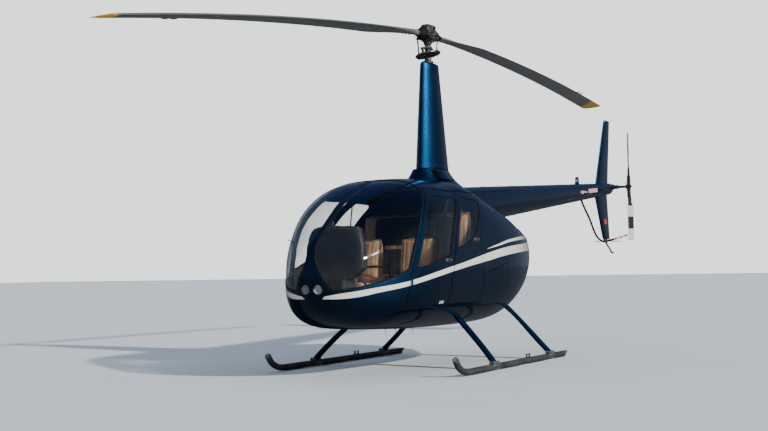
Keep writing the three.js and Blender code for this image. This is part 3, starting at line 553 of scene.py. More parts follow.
def bluePaint(name, striped):
    material, tree, shader = newMaterial(name)
    flakes = placeGroup(tree, flakeGroup, Scale=700.0, Tilt=0.12)
    dust = placeGroup(tree, dustGroup, Amount=0.03, Scale=2.5)
    cloud = noise(tree, 1.2, 2.0)
    spark = mathNode(tree, "MULTIPLY", mathNode(tree, "POWER", flakes.outputs["Spark"], 2.0),
        ramp(tree, cloud, -0.3, 1.3))
    colour = mixColour(tree, spark, paint["deep"], paint["flake"])
    if striped:
        box = stripeBox
        parts = addNode(tree, "ShaderNodeSeparateXYZ", Vector=objectPoint(tree))
        lengthY = at(0, box["toY"], 0).y - at(0, box["fromY"], 0).y
        y01 = mathNode(tree, "DIVIDE", mathNode(tree, "SUBTRACT", parts.outputs[1],
            at(0, box["fromY"], 0).y), lengthY)
        lowZ, spanZ = at(0, 0, box["fromZ"]).z, (box["toZ"] - box["fromZ"]) / 1000
        z01 = mathNode(tree, "DIVIDE", mathNode(tree, "SUBTRACT", parts.outputs[2], lowZ), spanZ)
        soft = box["soft"] / spanZ

        def between(low, high):
            above = ramp(tree, mathNode(tree, "SUBTRACT", z01, curveOf(tree, y01, stripeEdges[low])),
                -soft, soft)
            under = ramp(tree, mathNode(tree, "SUBTRACT", curveOf(tree, y01, stripeEdges[high]), z01),
                -soft, soft)
            return mathNode(tree, "MULTIPLY", above, under)
        outward = mathNode(tree, "ABSOLUTE", parts.outputs[0])
        slanted = mathNode(tree, "MULTIPLY_ADD", mathNode(tree, "SUBTRACT", parts.outputs[2],
            at(0, 0, 721).z), box["slant"], box["noseHalf"] / 1000)
        slanted = mathNode(tree, "MINIMUM", slanted, 0.15)
        main = mathNode(tree, "MULTIPLY", between("mainBottom", "mainTop"),
            ramp(tree, mathNode(tree, "SUBTRACT", outward, slanted), 0, box["soft"]))
        thin = mathNode(tree, "MULTIPLY", between("thinBottom", "thinTop"),
            ramp(tree, mathNode(tree, "SUBTRACT", parts.outputs[1], at(0, box["thinFrom"], 0).y), 0,
            box["soft"]))
        mask = mathNode(tree, "MAXIMUM", main, thin)
        colour = mixColour(tree, mask, colour, paint["cream"])
        metal = mathNode(tree, "MULTIPLY_ADD", mask, -paint["metal"], paint["metal"])
    colour = mixColour(tree, dust.outputs["Mask"], colour, paint["dust"])
    tree.links.new(colour, shader.inputs["Base Color"])
    tree.links.new(flakes.outputs["Normal"], shader.inputs["Normal"])
    rough = mathNode(tree, "MULTIPLY_ADD", dust.outputs["Mask"], 1.5, paint["rough"])
    tree.links.new(rough, shader.inputs["Roughness"])
    if striped:
        tree.links.new(metal, shader.inputs["Metallic"])
    else:
        shader.inputs["Metallic"].default_value = paint["metal"]
    setPlain(shader, Coat_Weight=1.0, Coat_Roughness=0.02, Coat_IOR=1.4)
    return material


def clearGlass(name, tint, shadowTint):
    # tinted clear panes that let the lights through
    material, tree, shader = newMaterial(name)
    haze = noise(tree, 9.0, 5.0, 0.6)
    tree.links.new(mathNode(tree, "MULTIPLY_ADD", ramp(tree, haze, 0.45, 0.8), 0.008, 0.008),
        shader.inputs["Roughness"])
    setPlain(shader, Base_Color=tint, Transmission_Weight=1.0, IOR=1.1, Specular_IOR_Level=0.5)
    setPlain(shader, Coat_Weight=1.0, Coat_IOR=1.5, Coat_Roughness=0.015)
    clear = addNode(tree, "ShaderNodeBsdfTransparent", Color=shadowTint)
    path = addNode(tree, "ShaderNodeLightPath")
    mix = addNode(tree, "ShaderNodeMixShader", i0=path.outputs["Is Shadow Ray"])
    tree.links.new(shader.outputs[0], mix.inputs[1])
    tree.links.new(clear.outputs[0], mix.inputs[2])
    tree.links.new(mix.outputs[0], tree.nodes["Material Output"].inputs[0])
    return material


def grainy(name, colour, second, rough, scale, depth, metallic=0.0, wear=0.0, dust=0.1, coat=0.0,
        shine=0.5):
    # painted, moulded or cast surfaces: two tones, fine grain, dust and worn edges
    material, tree, shader = newMaterial(name)
    grain = placeGroup(tree, grainGroup, Scale=scale, Depth=depth)
    film = placeGroup(tree, dustGroup, Amount=dust, Scale=6.0)
    tone = mixColour(tree, ramp(tree, noise(tree, 7.0, 5.0), 0.3, 0.7), (*colour, 1), (*second, 1))
    roughness = mathNode(tree, "MULTIPLY_ADD", noise(tree, 22.0, 4.0), 0.18, rough - 0.09)
    if wear:
        worn = placeGroup(tree, wearGroup, Scale=35.0, Amount=wear)
        tone = mixColour(tree, worn.outputs["Mask"], tone, (0.45, 0.44, 0.42, 1))
    tone = mixColour(tree, film.outputs["Mask"], tone, (0.36, 0.33, 0.29, 1))
    tree.links.new(tone, shader.inputs["Base Color"])
    tree.links.new(roughness, shader.inputs["Roughness"])
    tree.links.new(grain.outputs["Normal"], shader.inputs["Normal"])
    setPlain(shader, Metallic=metallic, Coat_Weight=coat, Specular_IOR_Level=shine)
    return material


# the record's slot, two tones, roughness, the grain's scale and depth, and more settings
plainFinishes = {
    "satinBlack": ("black_metal", (0.008, 0.008, 0.009), (0.014, 0.014, 0.015),
        0.42, 260, 0.00003, {"wear": 0.2}),
    "skidGrey": ("black_metal", (0.022, 0.023, 0.025), (0.04, 0.04, 0.04),
        0.5, 240, 0.00006, {"wear": 0.5, "dust": 0.25}),
    "bladeGrey": ("blade_grey", (0.12, 0.114, 0.105), (0.155, 0.144, 0.13),
        0.42, 260, 0.00001, {"wear": 0.3, "dust": 0.1}),
    "steel": ("bare_steel", (0.42, 0.41, 0.39), (0.25, 0.24, 0.23),
        0.32, 600, 0.00003, {"metallic": 1.0, "dust": 0.15}),
    "heatedSteel": ("bare_steel", (0.32, 0.26, 0.2), (0.16, 0.13, 0.13),
        0.38, 300, 0.00005, {"metallic": 1.0, "dust": 0.2}),
    "darkTrim": ("cabin_trim", (0.018, 0.018, 0.02), (0.028, 0.028, 0.03),
        0.6, 320, 0.00002, {"dust": 0.02}),
    "greyLiner": ("cabin_trim", (0.036, 0.036, 0.038), (0.05, 0.05, 0.052),
        0.8, 300, 0.00002, {"dust": 0.02, "shine": 0.2}),
    "rubber": ("black_metal", (0.006, 0.006, 0.007), (0.01, 0.01, 0.011),
        0.7, 800, 0.00005, {"dust": 0.01, "shine": 0.12}),
    "castBlack": ("black_metal", (0.014, 0.015, 0.016), (0.03, 0.03, 0.03),
        0.5, 300, 0.00006, {"wear": 0.5, "dust": 0.2}),
    "agedBronze": ("bare_steel", (0.1, 0.075, 0.05), (0.05, 0.04, 0.03),
        0.48, 300, 0.0001, {"metallic": 0.7, "wear": 0.5, "dust": 0.3}),
    "whitePaint": ("cabin_trim", (0.7, 0.65, 0.54), (0.64, 0.59, 0.49),
        0.35, 500, 0.00002, {"dust": 0.2, "coat": 0.4}),
    "tipYellow": ("blade_grey", (0.62, 0.31, 0.012), (0.52, 0.26, 0.012),
        0.45, 500, 0.00002, {"dust": 0.12}),
    "bladeEdge": ("blade_grey", (0.15, 0.165, 0.16), (0.12, 0.13, 0.125),
        0.5, 300, 0.00002, {"metallic": 0.3, "dust": 0.2}),
    "placardRed": ("beacon_red", (0.55, 0.045, 0.03), (0.5, 0.04, 0.03),
        0.4, 500, 0.00001, {"dust": 0.1, "coat": 0.3}),
    "placardPale": ("blade_grey", (0.62, 0.36, 0.34), (0.58, 0.33, 0.31), 0.45, 500, 0.00001, {}),
    # mirror: pale and only partly metallic, a painted sheen in place of bright chrome reflections
    "mirror": ("bare_steel", (0.92, 0.92, 0.93), (0.86, 0.87, 0.88),
        0.16, 60, 0.00002, {"metallic": 0.55, "dust": 0.02}),
    "seatShell": ("cabin_trim", (0.2, 0.125, 0.07), (0.16, 0.1, 0.055),
        0.6, 500, 0.00006, {"dust": 0.05}),
    "beltWeb": ("cabin_trim", (0.012, 0.012, 0.013), (0.02, 0.02, 0.02), 0.75, 500, 0.00005, {}),
    "buckleRed": ("beacon_red", (0.6, 0.02, 0.015), (0.5, 0.02, 0.015), 0.3, 400, 0.00002, {}),
    # dark cloth, which also paints the shade over the middle of the bench's back
    "darkCloth": ("seat_leather", (0.014, 0.013, 0.013), (0.022, 0.02, 0.019),
        0.85, 380, 0.0002, {"dust": 0.03}),
    "dialFace": ("black_metal", (0.008, 0.008, 0.009), (0.012, 0.012, 0.013),
        0.12, 300, 0.000005, {"dust": 0.02, "coat": 1.0}),
    "carpet": ("cabin_trim", (0.012, 0.012, 0.013), (0.022, 0.022, 0.024),
        0.95, 500, 0.0004, {"dust": 0.1}),
    "tanLeather": ("seat_leather", (0.47, 0.275, 0.14), (0.39, 0.22, 0.105),
        0.5, 420, 0.00035, {"dust": 0.04}),
    "beaconRed": ("beacon_red", (0.06, 0.004, 0.004), (0.045, 0.003, 0.003),
        0.12, 300, 0.00001, {"coat": 1.0}),
}
finish = {
    "stripedPaint": bluePaint("stripedPaint", True),
    "bluePaint": bluePaint("bluePaint", False),
    "clearPane": clearGlass("clearPane", (0.84, 0.85, 0.84, 1), (0.72, 0.73, 0.73, 1)),
    "lampGlass": clearGlass("lampGlass", (0.95, 0.97, 1.0, 1), (0.9, 0.9, 0.9, 1)),
}
slotOf = {"stripedPaint": "body_paint", "bluePaint": "body_paint", "lampGlass": "lamp_glass"}
for name, (slot, *tones, more) in plainFinishes.items():
    finish[name] = grainy(name, *tones, **more)
    slotOf[name] = slot
print("materials made")

bodyBlock = makeBody()
cutters["bodyBlock"] = bodyBlock
past = seams["past"]
sideCutter("cabinBlock", [(-3000, 200), (-3000, 2000)] + cabinEnd[::-1], -past, past)
sideCutter("aftBlock", grown([(2500, 200), (2500, 2000)] + cabinEnd[::-1], -seams["panel"]), -past, past)
sideCutter("windshieldBlock", windshieldOutline, -past, past)
sideCutter("windshieldWide", grown(windshieldOutline, seams["panel"]), -past, past)
frontCutter("noseCap", noseCapOutline, -3000, -2250)
frontCutter("noseCapWide", grown(noseCapOutline, seams["panel"]), -3000, -2250)
bow = bowWidths + [(z, -half) for z, half in bowWidths[::-1]]
frontCutter("bow", [(half, z) for z, half in bow], -3000, 0)
frontCutter("bowWide", grown([(half, z) for z, half in bow], seams["glass"]), -3000, 0)
boxCutter("leftHalf", (0, -3000, 200), (past, 2500, 2000))
boxCutter("roof", (-past, -1400, seams["roofZ"] + seams["panel"]), (past, 0, 2000))
boxCutter("roofWide", (-past, -1400, seams["roofZ"]), (past, 400, 2000))
for place, outline in doorOutlines.items():
    sideCutter(place + "Door", outline, seams["sideFrom"], past)
    for side in (1, -1):
        sideCutter(f"{place}DoorHole{side}", grown(outline, seams["door"]), side * seams["sideFrom"],
            side * past)
    window = windowOutlines[place]
    sideCutter(place + "Window", window, seams["sideFrom"], past, round=seams["round"])
    sideCutter(place + "WindowHole", grown(window, seams["glass"]), seams["sideFrom"], past,
        round=seams["round"])
sideCutter("baggage", baggageOutline, seams["sideFrom"], past)
sideCutter("baggageHole", grown(baggageOutline, seams["door"]), seams["sideFrom"], past)
for side in (1, -1):
    sideCutter(f"grille{side}", grilleOutline, side * 60, side * past)
boxCutter("outlet", (-150, 1350, 200), (150, 1700, 950))


def lampCutter(name, radius):
    # two round holes for the landing lights
    bm = bmesh.new()
    for x in (-62, 62):
        bmesh.ops.create_cone(bm, cap_ends=True, segments=40, radius1=radius / 1000,
            radius2=radius / 1000, depth=0.4, matrix=spotAt(x, -2400, 805)
            @ Matrix.Rotation(math.pi / 2, 4, "X"))
    keepCutter(name, bm)


lampCutter("lampHoles", 47)


def compoundCutter(name, source, step):
    mesh = cutCopy(cutters[source], [step])
    for polygon in mesh.polygons:
        polygon.material_index = 1
    cutters[name] = linkObject(name, mesh)


compoundCutter("windshield", "windshieldBlock", "-noseCapWide")
compoundCutter("windshieldHole", "windshieldWide", "-noseCap")
print("cutting blocks made")

wallThickness = {"cabin": 34, "cowl": 22, "pane": 7, "paneDepth": 6, "bow": 30}
lining = ["greyLiner", "rubber"]


def makeCabin():
    doorHoles = [f"-{place}DoorHole{side}" for place in doorOutlines for side in (1, -1)]
    shell = skinPatch("cabin_skin", ["cabinBlock", "-windshieldHole", "-roofWide", "-lampHoles"]
        + doorHoles, ["stripedPaint"] + lining, wallThickness["cabin"])
    settle(shell, "airframe", "cabin_shell", slot="body_paint")
    roof = skinPatch("roof_skin", ["cabinBlock", "roof", "-windshieldHole"], ["bluePaint"] + lining,
        wallThickness["cabin"])
    settle(roof, "airframe", "cabin_roof", slot="body_paint")
    bowSkin = skinPatch("bow_skin", ["windshield", "bow"], ["bluePaint"] + lining, wallThickness["bow"])
    settle(bowSkin, "airframe", "windshield_bow", slot="body_paint")
    pane = skinPatch("windshield_pane_left", ["windshield", "leftHalf", "-bowWide"], ["clearPane"],
        wallThickness["pane"], wallThickness["paneDepth"])
    settle(pane, "airframe", "windshield_left", slot="window_glass")
    other = mirroredCopy(pane, "windshield_pane_right")
    settle(other, "airframe", "windshield_right", slot="window_glass")


def makeDoors():
    for place in doorOutlines:
        skin = skinPatch(f"{place}_door_skin_left", [place + "Door", f"-{place}WindowHole"],
            ["stripedPaint"] + lining, wallThickness["cabin"])
        settle(skin, f"{place}_left_door", f"door_{place}_left", slot="body_paint")
        settle(mirroredCopy(skin, f"{place}_door_skin_right"), f"{place}_right_door",
            f"door_{place}_right", slot="body_paint")
        pane = skinPatch(f"{place}_door_pane_left", [place + "Window"], ["clearPane"],
            wallThickness["pane"], wallThickness["paneDepth"])
        settle(pane, f"{place}_left_door", f"window_{place}_left", slot="window_glass")
        settle(mirroredCopy(pane, f"{place}_door_pane_right"), f"{place}_right_door",
            f"window_{place}_right", slot="window_glass")


def makeCowling():
    skin = skinPatch("cowling_skin", ["aftBlock", "-baggageHole", "-grille1", "-grille-1", "-outlet"],
        ["stripedPaint", "darkTrim", "rubber"], wallThickness["cowl"])
    settle(skin, "airframe", "engine_cowling", slot="body_paint")
    lid = skinPatch("baggage_door_skin", ["baggage", "aftBlock"], ["stripedPaint"] + lining,
        wallThickness["cowl"])
    settle(lid, "baggage_door", "door_baggage", slot="body_paint")


makeCabin()
print("cabin skin cut")
makeDoors()
print("doors cut")
makeCowling()
print("cowling cut")

# more tools: places on the skin, small turned and milled pieces, tubes and bands
bodyRows = smoothBetween(bodySections, bodySkin["step"], bodySkin["least"])


def bodyRow(y):
    for a, b in zip(bodyRows, bodyRows[1:]):
        if a[0] <= y <= b[0]:
            share = (y - a[0]) / (b[0] - a[0])
            return [p + (q - p) * share for p, q in zip(a, b)]
    return bodyRows[0] if y < 0 else bodyRows[-1]


def skinHalf(y, z):
    # half the body's width there, in mm
    _, low, high, half, widest, above, below = bodyRow(y)
    reach, power = (high - widest, above) if z > widest else (widest - low, below)
    share = min(1, abs(z - widest) / max(reach, 1e-6))
    return half * (1 - share ** power) ** (1 / power)


def skinHeight(x, y, above):
    # the roof's or the belly's height there, in mm
    _, low, high, half, widest, top, bottom = bodyRow(y)
    reach, power = (high - widest, top) if above else (low - widest, bottom)
    return widest + reach * (1 - min(1, abs(x) / half) ** power) ** (1 / power)


def onSide(y, z, side=1, out=0.0):
    # a point on the body's side and the way out of it
    d = 4
    along = Vector((skinHalf(y + d, z) - skinHalf(y - d, z), 2 * d, 0))
    rise = Vector((skinHalf(y, z + d) - skinHalf(y, z - d), 0, 2 * d))
    normal = along.cross(rise).normalized()
    point = at(skinHalf(y, z), y, z) + normal * out / 1000
    place = at(0, 0, 0)
    if side < 0:
        return Vector((2 * place.x - point.x, point.y, point.z)), Vector((-normal.x, normal.y, normal.z))
    return point, normal


def onTop(x, y, above=True, out=0.0):
    d = 4
    along = Vector((0, 2 * d, skinHeight(x, y + d, above) - skinHeight(x, y - d, above)))
    across = Vector((2 * d, 0, skinHeight(x + d, y, above) - skinHeight(x - d, y, above)))
    normal = across.cross(along).normalized() * (1 if above else -1)
    return at(x, y, skinHeight(x, y, above)) + normal * out / 1000, normal


def facing(point, normal, along=(0, 1, 0)):
    # a frame on a surface: z leaves it, x runs along it
    z = Vector(normal).normalized()
    x = Vector(along)
    x = (x - z * x.dot(z)).normalized()
    return Matrix.Translation(point) @ Matrix((x, z.cross(x), z)).transposed().to_4x4()


def addBlock(bm, place, size, centre=(0, 0, 0), bevel=0.0, segments=2):
    # a block with rounded edges, in mm in that frame
    spread = Matrix.Diagonal([s / 1000 for s in size] + [1])
    shift = Matrix.Translation([c / 1000 for c in centre])
    verts = bmesh.ops.create_cube(bm, size=1, matrix=place @ shift @ spread)["verts"]
    if bevel:
        edges = list({e for v in verts for e in v.link_edges})
        bmesh.ops.bevel(bm, geom=edges, offset=bevel / 1000, offset_type="OFFSET", affect="EDGES",
            segments=segments, profile=0.5, material=-1)


def addPin(bm, place, radius, length, sides=20, taper=1.0, foot=0.0):
    # a round pin along the frame's z, from foot up
    bmesh.ops.create_cone(bm, cap_ends=True, segments=sides, radius1=radius / 1000,
        radius2=radius * taper / 1000, depth=length / 1000, matrix=place
        @ Matrix.Translation((0, 0, (foot + length / 2) / 1000)))


def addLathe(bm, place, profile, steps=40):
    # a turned shape: rows of radius and height in mm, spun round the frame's z
    old = set(bm.verts)
    line = [bm.verts.new((r / 1000, 0, h / 1000)) for r, h in profile]
    edges = [bm.edges.new(pair) for pair in zip(line, line[1:])]
    bmesh.ops.spin(bm, geom=line + edges, cent=(0, 0, 0), axis=(0, 0, 1), angle=math.tau, steps=steps,
        use_merge=True)
    bmesh.ops.transform(bm, matrix=place, verts=[v for v in bm.verts if v not in old])


def addTube(bm, path, radius, sides=12, flat=1.0, up=(0, 0, 1), closed=False):
    # rings along a path; the radius may change with the share of the way
    rings, up = [], Vector(up)
    for i, point in enumerate(path):
        last = path[i - 1] if closed or i else point
        after = path[(i + 1) % len(path)] if closed or i + 1 < len(path) else point
        way = (after - last).normalized()
        side = way.cross(up).normalized()
        up = side.cross(way)
        r = (radius(i / (len(path) - 1)) if callable(radius) else radius) / 1000
        rings.append(ringAt(bm, sides, lambda turn, p=point, s=side, u=up,
            r=r: p + s * r * math.cos(turn) + u * r * flat * math.sin(turn)))
    loftRings(bm, rings + (rings[:1] if closed else []), closeEnds=not closed)


def smoothPath(points, step=20):
    return [at(*row) for row in smoothBetween([tuple(p) for p in points], step, 1)]


def boundaryLoops(mesh):
    # the open edges of a patch, as closed rows of points with their normals
    bm = bmesh.new()
    bm.from_mesh(mesh)
    bm.normal_update()
    rims = {e for e in bm.edges if e.is_boundary}
    loops = []
    while rims:
        first = rims.pop()
        row = [first.verts[0], first.verts[1]]
        while True:
            following = [e for e in row[-1].link_edges if e in rims]
            if not following:
                break
            rims.discard(following[0])
            row.append(following[0].other_vert(row[-1]))
        if len(row) > 8:
            loops.append([(v.co.copy(), v.normal.copy()) for v in row])
    bm.free()
    return loops


def evenly(row, step):
    # the same closed row with even spacing in mm
    way = [0.0]
    for a, b in zip(row, row[1:]):
        way.append(way[-1] + (b[0] - a[0]).length)
    count, out, i = max(8, round(way[-1] * 1000 / step)), [], 0
    for k in range(count):
        goal = way[-1] * k / count
        while way[i + 1] < goal:
            i += 1
        share = (goal - way[i]) / max(way[i + 1] - way[i], 1e-9)
        out.append((row[i][0].lerp(row[i + 1][0], share), row[i][1].lerp(row[i + 1][1], share).normalized()))
    return out


def addBand(bm, row, section, closed=True):
    # a band along a row of points with normals; the section is across and up, in mm
    rings = []
    for i, (point, normal) in enumerate(row):
        last = row[i - 1][0] if closed or i else point
        after = row[(i + 1) % len(row)][0] if closed or i + 1 < len(row) else point
        side = normal.cross(after - last).normalized()
        count = len(section)
        rings.append(ringAt(bm, count, lambda turn, p=point, s=side,
            n=normal: p + s * section[round(turn / math.tau * count) % count][0] / 1000 + n
            * section[round(turn / math.tau * count) % count][1] / 1000))
    loftRings(bm, rings + (rings[:1] if closed else []), closeEnds=not closed)


def flatBand(half, low, high):
    soft = min(half, high - low) * 0.35
    return [(-half, low), (half, low), (half, high - soft), (half - soft, high), (soft - half, high),
        (-half, high - soft)]


def made(name, bm, look, *nodes, body="airframe", slot=None, angle=35):
    # merges, turns the faces out and settles the piece
    tidy(bm)
    looks = look if isinstance(look, list) else [look]
    piece = pieceFrom(name, bm, [finish[label] for label in looks], angle)
    return settle(piece, body, *nodes, slot=slot or slotOf[looks[0]])


def foilPoint(turn, chord, leading, thickness, bluntness=(1.45, 0.5)):
    # a rounded nose and a thin tail: place along the chord and half height
    along = (1 - math.cos(turn)) / 2
    half = thickness * (bluntness[0] * along ** bluntness[1] * (1 - along) + 0.04 * along)
    return leading + chord * along, half * ((turn < math.pi) - (turn > math.pi))


def denser(rows, count):
    # rows in straight lines between the given ones
    out = []
    for a, b in zip(rows, rows[1:]):
        out += [[p + (q - p) * k / count for p, q in zip(a, b)] for k in range(count)]
    return out + [list(rows[-1])]


def roundEnd(row, column, depth, thinColumn, steps=4):
    # rows that close a foil's end on a quarter round
    out = []
    for k in range(1, steps + 1):
        turn = k / steps * math.pi / 2
        new = list(row)
        new[column] = row[column] + depth * math.sin(turn)
        new[thinColumn] = row[thinColumn] * max(0.08, math.cos(turn))
        out.append(new)
    return out


sealBand = {"half": 7, "low": -1.5, "high": 5, "step": 12}
screwLine = {"step": 92, "out": 15, "radius": 4.2, "height": 1.6}


def makeSeals():
    # rubber round every pane, and screws along the windshield's edges
    for side in ("left", "right"):
        for pane, body in (("windshield_pane", "airframe"), ("front_door_pane", f"front_{side}_door"),
                ("rear_door_pane", f"rear_{side}_door")):
            rows = [evenly(loop, sealBand["step"])
                for loop in boundaryLoops(bpy.data.objects[f"{pane}_{side}"].data)]
            bm = bmesh.new()
            for row in rows:
                addBand(bm, row, flatBand(sealBand["half"], sealBand["low"], sealBand["high"]))
            made(f"{pane}_seal_{side}", bm, "rubber", body=body)
            if pane != "windshield_pane":
                continue
            bm = bmesh.new()
            for row in rows:
                middle = sum((p for p, n in row), Vector()) / len(row)
                for i in range(0, len(row), round(screwLine["step"] / sealBand["step"])):
                    point, normal = row[i]
                    out = normal.cross(row[(i + 1) % len(row)][0] - row[i - 1][0]).normalized()
                    if out.dot(point - middle) < 0:
                        out = -out
                    spot = point + out * screwLine["out"] / 1000 + normal * wallThickness["paneDepth"] / 1000
                    if spot.z < at(0, 0, 1700).z and abs(spot.x) > 0.115:
                        addPin(bm, facing(spot, normal), screwLine["radius"], screwLine["height"] + 0.4,
                            10, 0.8, -0.4)
            made(f"windshield_screws_{side}", bm, "satinBlack")


makeSeals()
print("panes sealed")

doorLip = {"over": 14, "depth": 41, "wall": 4}
handle = {"front": (-1165, 1040), "rear": (-520, 1238), "plate": (128, 34, 2), "lever": (92, 15, 9)}
doorHinge = {"front": [(-1742, 850), (-1640, 1160)], "rear": [(-1064, 820), (-985, 1150)],
    "leaf": (26, 62, 3)}


def makeDoorDetails():
    for place, outline in doorOutlines.items():
        sideCutter(place + "LipOuter", grown(outline, seams["door"] - 0.5), seams["sideFrom"], past)
        sideCutter(place + "LipInner", grown(outline, -doorLip["over"]), seams["sideFrom"] - 5, past + 5)
        lip = skinPatch(f"{place}_door_frame_left", [place + "LipOuter", f"-{place}LipInner"], ["rubber"],
            doorLip["wall"], doorLip["depth"])
        settle(lip, "airframe", slot="black_metal")
        settle(mirroredCopy(lip, f"{place}_door_frame_right"), "airframe", slot="black_metal")
        for side, label in bothSides:
            body = f"{place}_{label}_door"
            y, z = handle[place]
            plate = facing(*onSide(y, z, side))
            bm = bmesh.new()
            addBlock(bm, plate, handle["plate"], (0, 0, 0.4), 0.9)
            addBlock(bm, plate, handle["lever"], (side * 6, 0, 9), 4, 3)
            addPin(bm, plate @ Matrix.Translation((-0.046, 0, 0)), 12, 10, 28)
            made(f"{place}_door_handle_{label}", bm, "satinBlack", body=body)
            bm = bmesh.new()
            for shift in (-0.046, 0.05):
                addLathe(bm, plate @ Matrix.Translation((shift, 0, 0.0008)),
                    [(0, 0), (8.5, 0), (8.5, 12), (7, 13.4), (0, 13.8)], 24)
            made(f"{place}_door_lock_{label}", bm, "steel", body=body)
            bm = bmesh.new()
            for y, z in doorHinge[place]:
                spot = facing(*onSide(y, z, side))
                addBlock(bm, spot, doorHinge["leaf"], (6, 0, 1), 1.2)
                for v in (-20, 0, 20):
                    addPin(bm, spot @ Matrix.Translation((0.009, v / 1000, 0.0024)), 4, 1.4, 10, 0.8)
            made(f"{place}_door_hinges_{label}", bm, "bluePaint", body=body)


makeDoorDetails()
print("door details made")

# z, chord, y of the leading edge, thickness
mastRows = {"fairing": [(1985, 662, -246, 225), (3060, 374, -142, 129)],
    "collar": [(1740, 1100, -352, 640), (1800, 1000, -330, 520), (1880, 860, -300, 360),
    (1945, 735, -268, 285), (1975, 690, -255, 255)]}
mastPlan = {"around": 72, "topRound": 25, "nose": (1.8, 0.72)}
# the air scoop on the collar's left: mouth y, z range, how far it stands out and runs back
scoop = {"y": -205, "low": 1862, "high": 1958, "out": 64, "length": 330, "steps": 12}


def uprightPlace(row, turn, *nose):
    z, chord, leading, thickness = row
    y, x = foilPoint(turn, chord, leading, thickness, *nose)
    return at(x, y, z)


def collarHalf(y, z):
    # half the collar's width there, in mm
    rows = mastRows["collar"]
    for a, b in zip(rows, rows[1:]):
        if a[0] <= z <= b[0]:
            _, chord, leading, thickness = [p + (q - p) * (z - a[0]) / (b[0] - a[0]) for p, q in zip(a, b)]
    along = min(1, max(0, (y - leading) / chord))
    return thickness * (1.45 * math.sqrt(along) * (1 - along) + 0.04 * along)


def makeMast():
    rows = denser(mastRows["fairing"], 16)
    rows += roundEnd(rows[-1], 0, mastPlan["topRound"], 3)
    bm = bmesh.new()
    loftRows(bm, mastPlan["around"], rows, lambda row, t: uprightPlace(row, t, mastPlan["nose"]))
    made("mast_fairing_skin", bm, "bluePaint", "mast_fairing")
    rows = smoothBetween(mastRows["collar"], 22, 2)
    bm = bmesh.new()
    loftRows(bm, mastPlan["around"], rows, uprightPlace)
    made("mast_collar_skin", bm, "bluePaint", "mast_collar")
    # the scoop: a skin that fades into the collar behind a closed mouth, whose flat dark face is painted
    # shade for the inside of the inlet
    bm = bmesh.new()
    middle, half = (scoop["low"] + scoop["high"]) / 2, (scoop["high"] - scoop["low"]) / 2

    def scoopPlace(t, share, inset=0.0):
        c, s = math.cos(t), math.sin(t)
        y = scoop["y"] + scoop["length"] * share
        z = middle + math.copysign(abs(s) ** 0.55, s) * (half - inset)
        out = max(0, c) ** 0.5 * (scoop["out"] * (1 - share) ** 1.6 - inset)
        return at(collarHalf(y, z) + (out if c > 0 else -6), y, z)
    loftRows(bm, 40, range(scoop["steps"] + 1), lambda k, t: scoopPlace(t, k / scoop["steps"]))
    for face in bm.faces:
        face.normal_update()
        if abs(face.calc_center_median().y - at(0, scoop["y"], 0).y) < 0.0005:
            face.material_index = 1
    made("collar_scoop", bm, ["bluePaint", "rubber"])
    # a dark filler in the gap between collar and fairing: painted shade for the shadowed gap
    bm = bmesh.new()
    rows = [(1968, 626, -224, 212), (1994, 626, -224, 212)]
    loftRows(bm, mastPlan["around"], rows, lambda row, t: uprightPlace(row, t, mastPlan["nose"]))
    made("collar_gap", bm, "rubber")
    bm = bmesh.new()
    for k in range(22):
        turn = (k + 0.5) / 22 * math.tau
        y, x = foilPoint(turn, 653, -242, 221, mastPlan["nose"])
        addPin(bm, facing(at(x, y, 2020), (x, y - 40, 0)), 4, 4, 10, 0.8, -2)
    made("fairing_screws", bm, "steel")


makeMast()

# the tail cone: y, z and radius of its ends; bands where its skins lap
cone = {"front": (560, 1605, 215), "end": (5790, 2033, 82), "around": 72, "lap": 34, "proud": 1.2,
    "bands": [1330, 2140, 2950, 3760, 4570, 5330], "rivets": 40, "capSteps": 5, "cap": 46}


def coneAt(y):
    front, end = cone["front"], cone["end"]
    share = (y - front[0]) / (end[0] - front[0])
    return front[1] + (end[1] - front[1]) * share, front[2] + (end[2] - front[2]) * share


def onCone(y, turn, out=0.0):
    # turn 0 is the left side, a quarter turn up is the top
    z, radius = coneAt(y)
    normal = Vector((math.cos(turn), 0.025, math.sin(turn))).normalized()
    return at((radius + out) * math.cos(turn), y, z + (radius + out) * math.sin(turn)), normal


